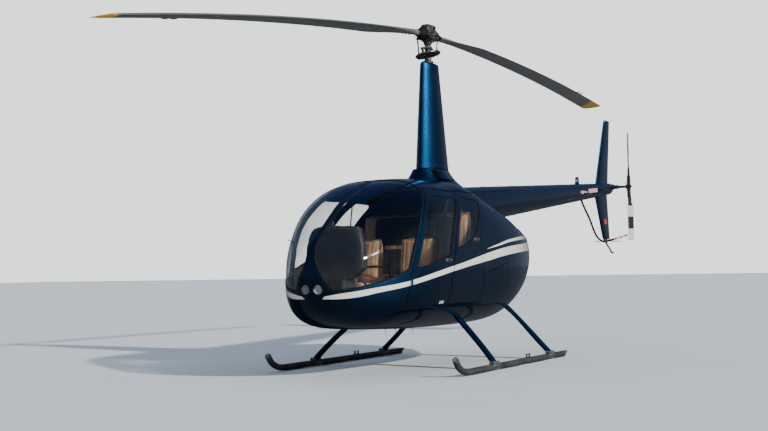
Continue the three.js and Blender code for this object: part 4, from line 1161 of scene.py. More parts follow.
def makeTailCone():
    rows = [(cone["front"][0], 0)]
    for band in cone["bands"]:
        rows += [(band - 0.6, 0), (band, cone["proud"]), (band + cone["lap"], cone["proud"]),
            (band + cone["lap"] + 0.6, 0)]
    rows.append((cone["end"][0], 0))
    full = []
    for a, b in zip(rows, rows[1:]):
        count = max(1, round((b[0] - a[0]) / 150))
        full += [(a[0] + (b[0] - a[0]) * k / count, a[1] + (b[1] - a[1]) * k / count) for k in range(count)]
    full.append(rows[-1])
    bm = bmesh.new()
    rings = [ringAt(bm, cone["around"], lambda t, y=y, e=extra: onCone(y, t, e)[0]) for y, extra in full]
    endY, endZ, endR = cone["end"]
    for k in range(1, cone["capSteps"] + 1):
        turn = k / cone["capSteps"] * math.radians(80)
        rings.append(ringAt(bm, cone["around"], lambda t, turn=turn: at(endR * math.cos(turn)
            * math.cos(t), endY + cone["cap"] * math.sin(turn),
            endZ + endR * math.cos(turn) * math.sin(t))))
    loftRings(bm, rings)
    front = cone["front"]
    dome = facing(at(0, front[0] + 4, front[1]), (0, -1, -0.08), (1, 0, 0))
    addLathe(bm, dome, [(0, 205), (70, 196), (130, 170), (180, 118), (206, 60), (214, 4), (214, -20),
        (0, -20)], 72)
    made("tailcone_skin", bm, "bluePaint", "tailcone")
    bm = bmesh.new()
    for band in cone["bands"]:
        for y in (band + 8, band + cone["lap"] - 8):
            for k in range(cone["rivets"]):
                point, normal = onCone(y, (k + 0.5) / cone["rivets"] * math.tau, cone["proud"] - 0.2)
                addPin(bm, facing(point, normal), 3.2, 1.5, 6, 0.6)
    for turn in (-0.9, math.pi + 0.9):
        for k in range(90):
            point, normal = onCone(980 + k * 52, turn, -0.2)
            addPin(bm, facing(point, normal), 3.0, 1.3, 6, 0.6)
    made("tailcone_rivets", bm, "bluePaint")


makeTailCone()

# fins: z, chord, y of the leading edge, thickness; the stabiliser: x, chord, leading y, thickness
finRows = {"upper": [(2030, 540, 5235, 46), (3000, 253, 5677, 30)],
    "lower": [(1328, 304, 5525, 34), (1990, 560, 5180, 46)]}
stabiliserRows = [(-20, 340, 5110, 38), (-890, 271, 5159, 38)]
finPlan = {"around": 56, "end": 10, "placard": (1560, 5600, 96), "stabiliserZ": 2010}


def makeFins():
    for label, ends in finRows.items():
        rows = denser(ends, 12)
        if label == "upper":
            rows += roundEnd(rows[-1], 0, finPlan["end"], 3)
        else:
            rows = roundEnd(rows[0], 0, -finPlan["end"], 3)[::-1] + rows
        bm = bmesh.new()
        loftRows(bm, finPlan["around"], rows, uprightPlace)
        made(f"fin_{label}_skin", bm, "bluePaint", f"fin_{label}")
        bm = bmesh.new()
        for row in denser(ends, 18)[2:-1]:
            for part in (0.9, 2.0, 4.3, 5.38):
                point = uprightPlace(row, part)
                side = 1 if part < math.pi else -1
                addPin(bm, facing(point, (side, 0, 0), (0, 1, 0)), 2.8, 1.2, 6, 0.6, -0.2)
        made(f"fin_{label}_rivets", bm, "bluePaint")
    rows = denser(stabiliserRows, 10)
    rows += roundEnd(rows[-1], 0, -finPlan["end"], 3)
    bm = bmesh.new()

    def levelPlace(row, turn):
        y, up = foilPoint(turn, row[1], row[2], row[3])
        return at(row[0], y, finPlan["stabiliserZ"] + up)
    loftRows(bm, finPlan["around"], rows, levelPlace)
    made("stabiliser_skin", bm, "bluePaint", "stabiliser")
    # plain placards: a red one on the lower fin, a pale one on the cone beside the white tail light
    z, y, size = finPlan["placard"]
    bm = bmesh.new()
    for side in (1, -1):
        addBlock(bm, spotAt(side * 20, y, z), (5, size, size * 0.72), bevel=1.5)
    made("fin_placard", bm, "placardRed")


tailLamp = {"y": 4330, "turn": 0.05, "strip": 190, "label": (4640, 5040)}


def makeTailLamp():
    spot = facing(*onCone(tailLamp["y"], tailLamp["turn"]))
    bm = bmesh.new()
    addBlock(bm, spot, (96, 40, 8), (20, 0, 3), 3, 3)
    addBlock(bm, facing(*onCone(tailLamp["y"] + 150, tailLamp["turn"])), (tailLamp["strip"], 22, 5), bevel=2)
    made("tail_lamp_base", bm, "placardPale")
    bm = bmesh.new()
    addLathe(bm, spot, [(0, 34), (9, 32), (16, 26), (19, 16), (19, 5)], 28)
    made("tail_lamp_lens", bm, "lampGlass")
    bm = bmesh.new()
    first, last = tailLamp["label"]
    path = [onCone(first + (last - first) * k / 6, 0.1, 0.4) for k in range(7)]
    addBand(bm, path, flatBand(27, -2, 0.6), closed=False)
    made("cone_placard", bm, "placardPale")


beaconPlan = {"y": 4500, "lens": 72, "top": 2140}


def makeBeacon():
    z, radius = coneAt(beaconPlan["y"])
    foot = spotAt(0, beaconPlan["y"], z + radius - 6)
    bm = bmesh.new()
    rings = []
    for height, chord, thick in ((0, 150, 62), (12, 116, 50), (34, 84, 46), (66, 66, 48), (74, 62, 46)):
        rings.append(ringAt(bm, 40, lambda t, h=height, c=chord,
            w=thick: foot @ Vector((w / 2000 * math.cos(t), c / 2000 * math.sin(t), h / 1000))))
    loftRings(bm, rings)
    made("beacon_pylon", bm, "bluePaint")
    bm = bmesh.new()
    lensFoot = foot @ Matrix.Translation((0, 0, beaconPlan["lens"] / 1000))
    addLathe(bm, lensFoot, [(27, 0), (27, 4), (24, 8), (23, 12), (20, 15), (20, 8), (0, 8)], 40)
    made("beacon_collar", bm, "satinBlack")
    top = beaconPlan["top"] - (z + radius - 6) - beaconPlan["lens"]
    bm = bmesh.new()
    addLathe(bm, lensFoot, [(22, 6), (24, 10), (24, top - 14), (21, top - 7), (14, top - 2), (0, top)], 40)
    made("beacon_lens", bm, "beaconRed", "beacon")


makeFins()
makeTailLamp()
makeBeacon()
print("tail skins made")

# gearbox, guard and tail rotor
tailAxis = (293, 5850, 2058)
tailGear = {"foot": (0, 5800, 2041), "end": (0, 5940, 2058), "shaftRadius": 19}


def makeTailGearbox():
    start, end = at(*tailGear["foot"]), at(*tailGear["end"])
    case = facing(start, end - start, (1, 0, 0))
    bm = bmesh.new()
    addLathe(bm, case, [(0, -8), (66, -8), (66, 6), (60, 8), (58, 26), (62, 34), (62, 70), (57, 78),
        (46, 96), (44, 118), (38, 126), (0, 128)], 44)
    for k in range(10):
        turn = (k + 0.5) / 10 * math.tau
        addBlock(bm, case @ Matrix.Rotation(turn, 4, "Z"), (10, 3, 44), (60, 0, 50), 1)
    out = facing(at(30, tailAxis[1], tailAxis[2]), (1, 0, 0))
    addLathe(bm, out, [(46, 0), (46, 26), (38, 32), (30, 60), (27, 66), (27, 96), (32, 98), (32, 106),
        (20, 108), (0, 108)], 40)
    made("tail_gearbox_case", bm, "satinBlack", "tail_gearbox")
    bm = bmesh.new()
    addPin(bm, out, tailGear["shaftRadius"], 205, 32)
    for k in range(8):
        turn = k / 8 * math.tau
        bolt = case @ Matrix.Rotation(turn, 4, "Z") @ Matrix.Translation((0.052, 0, 0.074))
        addPin(bm, bolt, 4.5, 9, 6)
        addPin(bm, out @ Matrix.Rotation(turn, 4, "Z") @ Matrix.Translation((0.04, 0, 0.028)), 4, 7, 6)
    addPin(bm, facing(at(40, 5905, 2062), (1, 0.4, 0)), 15, 20, 28)
    made("tail_gearbox_bolts", bm, "steel")


guardPlan = {"route": [(0, 4620, 1868), (0, 4690, 1800), (0, 4960, 1600), (0, 5270, 1350),
    (0, 5480, 1290), (0, 5900, 1310), (0, 6636, 1384)], "radius": 14,
    "stripes": [6010, 6130, 6250, 6370, 6490]}
tailSkidRoute = [(0, 5650, 1290), (0, 5700, 1245), (0, 5790, 1200), (0, 5940, 1122), (0, 5985, 1128)]


def makeGuard():
    path = smoothPath(guardPlan["route"], 14)
    bm = bmesh.new()
    addTube(bm, path, guardPlan["radius"], 20, up=(1, 0, 0))
    for face in bm.faces:
        y = (face.calc_center_median().y - mastY) * 1000
        if y > guardPlan["stripes"][0]:
            band = sum(y > edge for edge in guardPlan["stripes"])
            face.material_index = 1 if band % 2 else 2
    made("tail_guard_tube", bm, ["bluePaint", "placardRed", "whitePaint"], "tail_guard")
    bm = bmesh.new()
    addTube(bm, smoothPath(tailSkidRoute, 12), 12, 16, up=(1, 0, 0))
    made("tail_skid_rod", bm, "satinBlack", "tail_skid")
    # the aerial that crosses the lower fin's foot, with its mounting block
    bm = bmesh.new()
    addTube(bm, smoothPath([(0, 5200, 1279), (0, 5560, 1288), (0, 6300, 1292)], 60), 5.5, 10, up=(1, 0, 0))
    addBlock(bm, spotAt(0, 5640, 1296), (26, 120, 62), bevel=6)
    made("fin_aerial", bm, "satinBlack")


# radius, chord, thickness
tailBlade = {"rows": [(96, 60, 32), (150, 66, 30), (238, 78, 24), (262, 112, 19), (284, 128, 17),
    (500, 128, 17), (752, 128, 17)], "ahead": 0.28, "pitch": 0.375, "bands": [272, 426, 598]}


def tailBladePlace(way, row, turn):
    radius, chord, thickness = row
    along, flat = foilPoint(turn, chord, -chord * tailBlade["ahead"], thickness)
    c, s = math.cos(tailBlade["pitch"]), math.sin(tailBlade["pitch"])
    return at(tailAxis[0] + along * s + flat * c, tailAxis[1] - way * (along * c - flat * s),
        tailAxis[2] + way * radius)


def makeTailRotor():
    for label, way in (("upper", 1), ("lower", -1)):
        rows = denser(tailBlade["rows"], 7)
        rows += roundEnd(rows[-1], 0, 9, 2)
        edges = tailBlade["bands"]
        rows = sorted(rows + [[edge] + list(tailBlade["rows"][4][1:]) for edge in edges if edge > 284])
        bm = bmesh.new()
        loftRows(bm, 40, rows, lambda row, t: tailBladePlace(way, row, t))
        for face in bm.faces:
            radius = abs(face.calc_center_median().z - at(*tailAxis).z) * 1000
            face.material_index = sum(radius > edge for edge in edges) % 2
        made(f"tail_blade_{label}", bm, ["satinBlack", "whitePaint"], f"tail_rotor_blade_{label}",
            body="tail_rotor", slot="blade_grey")
    hub = facing(at(*tailAxis), (1, 0, 0), (0, 0, 1))
    bm = bmesh.new()
    addLathe(bm, hub @ Matrix.Translation((0, 0, -0.045)), [(0, 0), (27, 0), (30, 4), (30, 18), (24, 22),
        (24, 60), (28, 64), (28, 74), (16, 80), (0, 84)], 40)
    for way in (1, -1):
        addBlock(bm, hub, (142, 50, 9), (way * 80, 0, 15), 3)
        addBlock(bm, hub, (142, 50, 9), (way * 80, 0, -15), 3)
        addBlock(bm, hub, (116, 44, 24), (way * 74, 0, 0), 4)
        addBlock(bm, hub @ Matrix.Rotation(0.5, 4, "Z"), (64, 12, 8), (way * 44, 0, -34), 3)
    made("tail_hub_yoke", bm, "satinBlack", "tail_rotor_hub", body="tail_rotor")
    bm = bmesh.new()
    for way in (1, -1):
        for shift in (44, 84):
            addPin(bm, hub @ Matrix.Translation((way * shift / 1000, 0.012, 0)), 5.5, 48, 6, foot=-24)
            addPin(bm, hub @ Matrix.Translation((way * shift / 1000, -0.012, 0)), 5.5, 48, 6, foot=-24)
        addPin(bm, hub @ Matrix.Rotation(0.5, 4, "Z") @ Matrix.Translation((way * 0.07, 0, 0)), 4.5, 40,
            12, foot=-36)
    addPin(bm, hub, 15, 8, 6, foot=34)
    made("tail_hub_bolts", bm, "satinBlack", body="tail_rotor")


makeTailGearbox()
makeGuard()
makeTailRotor()
print("tail rotor made")

# legs: x, y, z and tilt of each section along the left leg; the right one is its mirror
legPlan = {"front": {"rows": [(972, -713, 76, 0.78), (905, -693, 150, 0.78), (622, -610, 425, 0.78),
    (560, -592, 482, 1.0), (505, -585, 515, 1.3), (420, -585, 530, 1.5)], "tube": (-585, 530)},
    "rear": {"rows": [(972, 751, 76, 0.78), (905, 758, 140, 0.78), (460, 806, 560, 0.78),
    (420, 812, 590, 1.2)], "tube": (812, 590)}, "chord": 118, "thickness": 44, "ahead": 0.42,
    "around": 44, "tubeRadius": 19}


def makeLegs():
    for label in ("front", "rear"):
        plan = legPlan[label]
        rows = smoothBetween(plan["rows"], 34, 2)
        bm = bmesh.new()
        for side in (1, -1):
            def legPlace(row, turn, side=side):
                x, y, z, tilt = row
                along, flat = foilPoint(turn, legPlan["chord"], y - legPlan["chord"] * legPlan["ahead"],
                    legPlan["thickness"])
                return at(side * (x + flat * math.cos(tilt)), along, z + flat * math.sin(tilt))
            loftRows(bm, legPlan["around"], rows, legPlace)
        y, z = plan["tube"]
        addTube(bm, [at(x, y, z) for x in (-425, -140, 140, 425)], legPlan["tubeRadius"], 24)
        made(f"landing_legs_{label}", bm, "bluePaint", f"landing_gear_{label}")
        bm = bmesh.new()
        for side in (1, -1):
            x, y = 979, plan["rows"][0][1]
            saddle = spotAt(side * x, y, 33)
            addLathe(bm, saddle @ Matrix.Rotation(math.pi / 2, 4, "X"),
                [(29.9, -72), (30.9, -70), (30.9, 70), (29.9, 72), (29.9, -72)], 40)
            addBlock(bm, saddle, (56, 132, 26), (0, 0, 38), 7, 3)
            for shift in (-48, 48):
                addPin(bm, saddle @ Matrix.Translation((side * 0.018, shift / 1000, 0.05)), 6.5, 7, 6)
                addPin(bm, saddle @ Matrix.Translation((-side * 0.018, shift / 1000, 0.05)), 6.5, 7, 6)
        made(f"skid_saddles_{label}", bm, "skidGrey")


skidPlan = {"x": 980, "radius": 30, "route": [(-1594, 165), (-1530, 95), (-1420, 46), (-1290, 33),
    (-1262, 33), (-700, 33), (700, 33), (1150, 33)], "shoes": [(-1120, 300), (-330, 420), (330, 420),
    (1010, 260)], "studs": (100, 170)}


def makeSkids():
    for side, label in bothSides:
        x = side * skidPlan["x"]
        path = smoothPath([(x, y, z) for y, z in skidPlan["route"]], 26)
        bm = bmesh.new()
        addTube(bm, path, skidPlan["radius"], 36, up=(1, 0, 0))
        # the heel is cut to a point from below
        heel = spotAt(x, 1150, 33)
        rings = []
        for share in (0, 0.3, 0.6, 0.85, 1):
            rings.append(ringAt(bm, 36, lambda t, s=share: heel
                @ Vector((0.03 * math.cos(t) * (1 - 0.3 * s), 0.075 * s,
                0.03 * math.sin(t) * (1 - 0.8 * s) + 0.022 * s))))
        loftRings(bm, rings)
        made(f"skid_tube_{label}", bm, "skidGrey", f"skid_{label}")
        bm = bmesh.new()
        for y, length in skidPlan["shoes"]:
            addBlock(bm, spotAt(x, y, 7), (36, length, 14), bevel=5, segments=3)
            for shift in (-0.38, 0.38):
                band = spotAt(x, y + shift * length, 33) @ Matrix.Rotation(math.pi / 2, 4,
                    "X")
                addLathe(bm, band, [(29.8, -11), (30, -10), (30, 10), (29.8, 11), (29.8, -11)], 36)
        addBlock(bm, spotAt(x, -2, 9), (24, 2380, 10), bevel=3)
        made(f"skid_shoes_{label}", bm, "steel")
        # studs that the ground wheels hook onto
        bm = bmesh.new()
        for y in skidPlan["studs"]:
            stud = spotAt(x, y, 58)
            addBlock(bm, stud, (30, 44, 12), (0, 0, 4), 4)
            addPin(bm, stud, 9, 34, 20)
            addLathe(bm, stud @ Matrix.Translation((0, 0, 0.034)),
                [(0, -2), (14, -2), (15, 2), (11, 6), (0, 7)], 20)
        made(f"skid_studs_{label}", bm, "steel")


makeLegs()
makeSkids()
print("landing gear made")

# the main rotor: radius, chord, thickness, leading edge ahead of the pitch axis
rotor = {"hubHeight": 3378, "tilt": 0.0356, "cone": 0.0377, "droop": 1.0e-5, "rootPitch": 0.13,
    "cyclicPitch": 0.018, "twist": -0.17, "radius": 5030, "rows": [(270, 84, 52, 42), (330, 92, 50, 46),
    (430, 120, 44, 56), (560, 156, 39, 62), (700, 192, 34, 68), (840, 230, 32, 71), (1000, 262, 30, 72),
    (4560, 262, 30, 72), (4985, 260, 26, 72), (5014, 244, 20, 57), (5026, 226, 12, 40)], "around": 48,
    "tips": {"forward": (4983, 0.4), "aft": (4808, 1.0)}, "steel": 0.13, "tabs": (3985, 4190),
    "tabDepth": 34}


def bladeHeight(way, radius):
    return rotor["hubHeight"] - (rotor["cone"] + way * rotor["tilt"]) * radius - rotor["droop"] * radius ** 2


def bladePlace(way, radius, along, flat):
    pitch = rotor["rootPitch"] + way * rotor["cyclicPitch"] + rotor["twist"] * radius / rotor["radius"]
    c, s = math.cos(pitch), math.sin(pitch)
    return at(-way * (along * c + flat * s), -way * radius, bladeHeight(way, radius) - along * s + flat * c)


def makeBlades():
    for label, way in (("forward", 1), ("aft", -1)):
        rows = []
        for a, b in zip(rotor["rows"], rotor["rows"][1:]):
            step = 15 if a[0] > 4500 else 130
            count = max(1, round((b[0] - a[0]) / step))
            rows += [[p + (q - p) * k / count for p, q in zip(a, b)] for k in range(count)]
        rows.append(list(rotor["rows"][-1]))
        rows.append([rotor["radius"], 214, 2, 30])
        bm = bmesh.new()

        def place(row, turn):
            along, flat = foilPoint(turn, row[1], -row[3], row[2])
            return bladePlace(way, row[0], along, flat)
        rings = loftRows(bm, rotor["around"], rows, place)
        nose = {v for ring in rings for i, v in enumerate(ring)
            if min(i, rotor["around"] - i) < rotor["around"] * rotor["steel"]}
        start, slant = rotor["tips"][label]
        for face in bm.faces:
            middle = face.calc_center_median()
            radius = abs(middle.y - mastY) * 1000
            if radius - way * middle.x * 1000 * slant > start:
                face.material_index = 2
            elif radius > 900 and all(v in nose for v in face.verts):
                face.material_index = 1
        made(f"blade_{label}", bm, ["bladeGrey", "bladeEdge", "tipYellow"], f"main_blade_{label}",
            body="main_rotor")
        bm = bmesh.new()
        first, last = rotor["tabs"]
        for radius in (first + 60, last - 40):
            middle = bladePlace(way, radius, 262 - 72 + 14, 0)
            aft = bladePlace(way, radius, 262, 0) - bladePlace(way, radius, 0, 0)
            span = facing(middle, aft.cross(Vector((0, -way, 0))), aft)
            addBlock(bm, span, (rotor["tabDepth"] + 14, 78, 1.6), bevel=0.5)
        for radius in (380, 450, 520):
            for along in (-18, 24):
                top = bladePlace(way, radius, along, 0)
                up = bladePlace(way, radius, along, 10) - top
                addPin(bm, facing(top, up), 8, 52, 6, foot=-26)
        made(f"blade_fittings_{label}", bm, "satinBlack", body="main_rotor")


# the hub, in mm from the mast's axis and the ground: z, half width, front y, rear y
hubPlan = {"rows": [(3300, 40, -75, 75), (3322, 54, -92, 92), (3340, 62, -105, 105),
    (3423, 62, -105, 105), (3446, 57, -88, 95), (3472, 44, -62, 77), (3478, 38, -54, 68)],
    "boot": [(66, 95), (66, 104), (60, 108), (64, 116), (57, 123), (61, 131), (54, 139), (58, 147),
    (51, 155), (55, 163), (48, 171), (51, 179), (44, 187), (47, 195), (41, 203), (43, 211), (37, 219),
    (37, 232), (33, 236), (33, 262), (30, 269)], "shaft": [(36, 3111), (36, 3134), (31, 3140), (31, 3270),
    (44, 3276), (44, 3296), (50, 3300), (50, 3316)]}


def squareRing(turn, halfX, front, rear, round=5):
    c, s = math.cos(turn), math.sin(turn)
    r = (abs(c) ** round + abs(s) ** round) ** (-1 / round)
    return halfX * c * r, (front + rear) / 2 + (rear - front) / 2 * s * r


def makeHub():
    bm = bmesh.new()
    rings = []
    for z, half, front, rear in denser(hubPlan["rows"], 3):
        rings.append(ringAt(bm, 64, lambda t, z=z, h=half, f=front, r=rear: at(*squareRing(t, h, f, r), z)))
    loftRings(bm, rings)
    # the teeter bolt across, and a coning bolt for each blade, in cast bosses
    for y, z, radius in ((0, 3440, 30), (-64, 3385, 26), (64, 3385, 26)):
        boss = facing(at(-70, y, z), (1, 0, 0), (0, 1, 0))
        addLathe(bm, boss, [(0, -2), (radius - 4, 0), (radius, 3), (radius, 137), (radius - 4, 140),
            (0, 142)], 36)
    for way in (1, -1):
        # the pitch horn: a bent arm from the blade's root to the link
        addTube(bm, smoothPath([(way * 30, -way * 118, 3366), (way * 78, -way * 106, 3352),
            (way * 118, -way * 70, 3350), (way * 131, -way * 30, 3358)], 12),
            lambda share: 21 - 8 * share, 16, flat=0.7)
    addLathe(bm, spotAt(0, 0, 0), [(0, 3111)] + hubPlan["shaft"] + [(0, 3316)], 48)
    made("hub_casting", bm, "castBlack", "rotor_hub", body="main_rotor", angle=40)
    for label, way in (("forward", 1), ("aft", -1)):
        bm = bmesh.new()
        start, end = at(0, -way * 95, bladeHeight(way, 95)), at(0, -way * 270, bladeHeight(way, 270))
        boot = facing(start, end - start, (1, 0, 0))
        addLathe(bm, boot, [(0, 0)] + [(r, h - 95) for r, h in hubPlan["boot"]] + [(0, 174)], 56)
        made(f"hub_boot_{label}", bm, "rubber", body="main_rotor", angle=50)
    bm = bmesh.new()
    for y, z, radius in ((0, 3440, 17), (-64, 3385, 14), (64, 3385, 14)):
        for side in (1, -1):
            end = facing(at(side * 72, y, z), (side, 0, 0), (0, 1, 0))
            addPin(bm, end, radius + 5, 3, 32)
            addPin(bm, end, radius, 14, 6, foot=3)
            addPin(bm, end, radius * 0.55, 20, 20, foot=3)
    for side in (1, -1):
        for y, z in ((-88, 3350), (88, 3350), (-84, 3412), (84, 3412), (-30, 3330), (30, 3330)):
            addPin(bm, facing(at(side * 60, y, z), (side, 0, 0), (0, 1, 0)), 6, 8, 6)
    for way in (1, -1):
        boot = facing(at(0, -way * 95, bladeHeight(way, 95)), (0, -way, -0.05), (1, 0, 0))
        for k in range(12):
            addPin(bm, boot @ Matrix.Rotation((k + 0.5) / 12 * math.tau, 4, "Z")
                @ Matrix.Translation((0.0675, 0, 0.0)), 3.4, 11, 6)
    made("hub_bolts", bm, "steel", body="main_rotor")


swash = {"z": 3168, "tilt": 0.2, "profile": [(62, -12), (66, -14), (96, -14), (98, -10), (126, -10),
    (132, -6), (132, 6), (128, 10), (100, 11), (96, 14), (66, 14), (62, 12), (62, -12)], "linkX": 131,
    "linkY": -30, "linkTop": 3340}


def makeSwashplate():
    ring = spotAt(0, 0, swash["z"]) @ Matrix.Rotation(-swash["tilt"], 4, "Y")
    bm = bmesh.new()
    addLathe(bm, ring, swash["profile"], 72)
    for way in (1, -1):
        addBlock(bm, ring, (40, 52, 24), (way * 112, way * -30, 0), 5)
    made("swash_ring", bm, "agedBronze", "swashplate", body="main_rotor", angle=40)
    bm = bmesh.new()
    for way in (1, -1):
        foot = ring @ Vector((way * 0.118, way * swash["linkY"] / 1000, 0.002))
        top = at(way * swash["linkX"], way * swash["linkY"], swash["linkTop"] + 10)
        rod = facing(foot, top - foot, (1, 0, 0))
        length = (top - foot).length * 1000
        addLathe(bm, rod, [(0, 6), (6, 8), (6, 26), (10, 28), (10, 36), (7.5, 40), (7.5, length - 40),
            (10, length - 36), (10, length - 28), (6, length - 26), (6, length - 8), (0, length - 6)], 20)
        for end in (foot, top):
            eye = facing(end, (way, 0, 0), (0, 1, 0))
            addLathe(bm, eye @ Matrix.Translation((0, 0, -0.009)),
                [(0, 0), (13, 0), (15, 3), (15, 15), (13, 18), (0, 18)], 24)
            addPin(bm, eye, 6, 34, 6, foot=-17)
    made("pitch_links", bm, "steel", body="main_rotor")
    # the scissors that turn the ring with the mast
    bm = bmesh.new()
    collar = spotAt(0, 0, 3226)
    addLathe(bm, collar, [(31, 0), (42, 0), (44, 4), (44, 24), (41, 28), (31, 28), (31, 0)], 36)
    knee, hip, toe = at(-14, -118, 3222), at(-10, -44, 3240), at(-4, -92, 3184)
    bend = at(16, 112, 3214)
    for a, b in ((hip, knee), (knee, toe), (at(12, 44, 3240), bend), (bend, at(10, 88, 3172))):
        addBlock(bm, facing((a + b) / 2, (1, 0, 0), b - a), ((b - a).length * 1000 + 18, 20, 26), bevel=5)
    made("swash_scissors", bm, "castBlack", body="main_rotor")


def makeMastTop():
    bm = bmesh.new()
    addLathe(bm, spotAt(0, 0, 0), [(0, 3080), (54, 3080), (58, 3084), (58, 3092),
        (50, 3096), (50, 3101), (47, 3103), (0, 3103)], 48)
    for k in range(8):
        turn = k / 8 * math.tau
        addPin(bm, spotAt(52 * math.cos(turn), 52 * math.sin(turn), 3091), 3.5, 5, 6)
    made("mast_top_bearing", bm, "castBlack", "mast_tube")


makeBlades()
makeHub()
makeSwashplate()
makeMastTop()
print("main rotor made")

# nose lamps, vents, covers, aerials and the exhaust
lamps = {"x": 62, "z": 805, "y": -2392, "facets": 12}


def makeLamps():
    for part in ("bowl", "rim", "lens", "bulb"):
        bm = bmesh.new()
        for side in (1, -1):
            # the lamp looks forward: its frame's z points ahead
            place = facing(at(side * lamps["x"], lamps["y"], lamps["z"]), (0, -1, 0), (1, 0, 0))
            if part == "bowl":
                rings = []
                for k in range(7):
                    r = 6 + 33 * (k / 6)
                    rings.append(ringAt(bm, lamps["facets"] * 2, lambda t, r=r,
                        k=k: place @ Vector((r / 1000 * math.cos(t + k % 2 * math.pi / 24),
                        r / 1000 * math.sin(t + k % 2 * math.pi / 24), (-34 + 30 * (r / 39) ** 2) / 1000))))
                loftRings(bm, rings, closeEnds=False)
            elif part == "rim":
                addLathe(bm, place, [(39, -40), (39, -4), (40, 0), (43.5, 3), (46, 0), (46, -40),
                    (39, -40)], 56)
            elif part == "lens":
                addLathe(bm, place, [(0, 2.4), (20, 1.8), (38.8, -1), (38.8, -3.4), (20, -0.8), (0, 0)], 56)
            else:
                addLathe(bm, place, [(0, -30), (8, -30), (8, -22), (6, -14), (0, -11)], 24)
                for k in range(3):
                    turn = k / 3 * math.tau + 0.5
                    addBlock(bm, place @ Matrix.Rotation(turn, 4, "Z"), (30, 1.6, 1.6), (21, 0, -13))
        # bowls and bulbs take the pale mirror finish: a painted sheen for their reflections
        look = {"bowl": "mirror", "rim": "satinBlack", "lens": "lampGlass", "bulb": "mirror"}[part]
        nodes = ("landing_lights",) if part == "rim" else ()
        made(f"nose_lamp_{part}", bm, look, *nodes, angle=12 if part == "bowl" else 35)


def sideRow(points, side, step=14, out=0.0):
    # a row of skin points under a smooth line of y and z
    rows = smoothBetween([tuple(p) for p in points], step, 1)
    return [onSide(y, z, side, out) for y, z in rows]


# lines on the cowling and cabin, given as y and z
panelLines = [
    [(420, 1210), (425, 1330), (455, 1470), (520, 1560)],
    [(60, 1240), (52, 1420), (20, 1600), (-20, 1690)],
    [(60, 1250), (420, 1300), (900, 1350), (1140, 1360)],
    [(1080, 560), (1120, 800), (1120, 1100), (1100, 1330)],
]
vents = {"fuel": (230, 1512), "drain": (-1240, 655)}


def makeBodyLines():
    bm = bmesh.new()
    screws = bmesh.new()
    for points in panelLines:
        for side in (1, -1):
            row = sideRow(points, side, 24)
            addBand(bm, row, flatBand(1.6, -1.2, 0.25), closed=False)
            for point, normal in row[2:-2:5]:
                spot = facing(point, normal) @ Matrix.Translation((0, 0.011, 0))
                addPin(screws, spot, 4.6, 1.6, 12, 0.8, -0.6)
                addBlock(screws, spot, (6, 1.2, 0.6), (0, 0, 1.0))
    made("cowling_lines", bm, "rubber")
    made("cowling_fasteners", screws, "satinBlack")


def makeFittings():
    # fuel filler on the left and a small lamp ahead of each front leg
    bm = bmesh.new()
    cap = facing(*onSide(vents["fuel"][0], vents["fuel"][1], 1))
    addLathe(bm, cap, [(0, 3), (20, 3), (22, 1.5), (36, 1.5), (38, 0), (38, -3), (0, -3)], 44)
    addBlock(bm, cap, (40, 8, 4), (0, 0, 4), 1.5)
    made("fuel_cap", bm, "bluePaint")
    bm = bmesh.new()
    for side in (1, -1):
        spot = facing(*onSide(vents["drain"][0], vents["drain"][1], side))
        addLathe(bm, spot, [(0, 14), (6, 13), (11, 9), (13, 2), (16, 1), (16, -2)], 28)
    made("side_lamp_lens", bm, "lampGlass")
    bm = bmesh.new()
    for side in (1, -1):
        spot = facing(*onSide(vents["drain"][0], vents["drain"][1], side))
        addBlock(bm, spot, (86, 30, 6), (14, 0, 0), 2.8, 3)
        addLathe(bm, spot, [(0, 8), (5, 8), (5, 3), (14, 3), (14, 1)], 20)
    # the lamp base takes the pale mirror finish: a painted sheen
    made("side_lamp_base", bm, "mirror")
    # aerials, drains and the belly's cover
    bm = bmesh.new()
    for x, y, tall in ((40, -1120, 70), (120, -1075, 60), (-90, -300, 95)):
        point, normal = onTop(x, y, above=False)
        addPin(bm, facing(point, normal), 12, 6, 24, 0.8, -2)
        addPin(bm, facing(point, normal + Vector((0, 0.25, 0))), 2.4, tall, 10, 0.6)
    made("belly_aerials", bm, "satinBlack")
    bm = bmesh.new()
    for y in (-900, -150):
        for x in (-260, 0, 260):
            point, normal = onTop(x, y, above=False)
            addPin(bm, facing(point, normal), 9, 3, 16, 0.8, -1)
    for k in range(16):
        x = -300 + k * 40
        for y in (-1240, -330):
            point, normal = onTop(x, y, above=False)
            addPin(bm, facing(point, normal), 3.6, 2, 8, 0.7, -0.6)
    made("belly_fasteners", bm, "steel")


louvres = {"count": 7, "from": 1200, "step": 84, "fall": 0.147, "top": 1388, "height": 62}


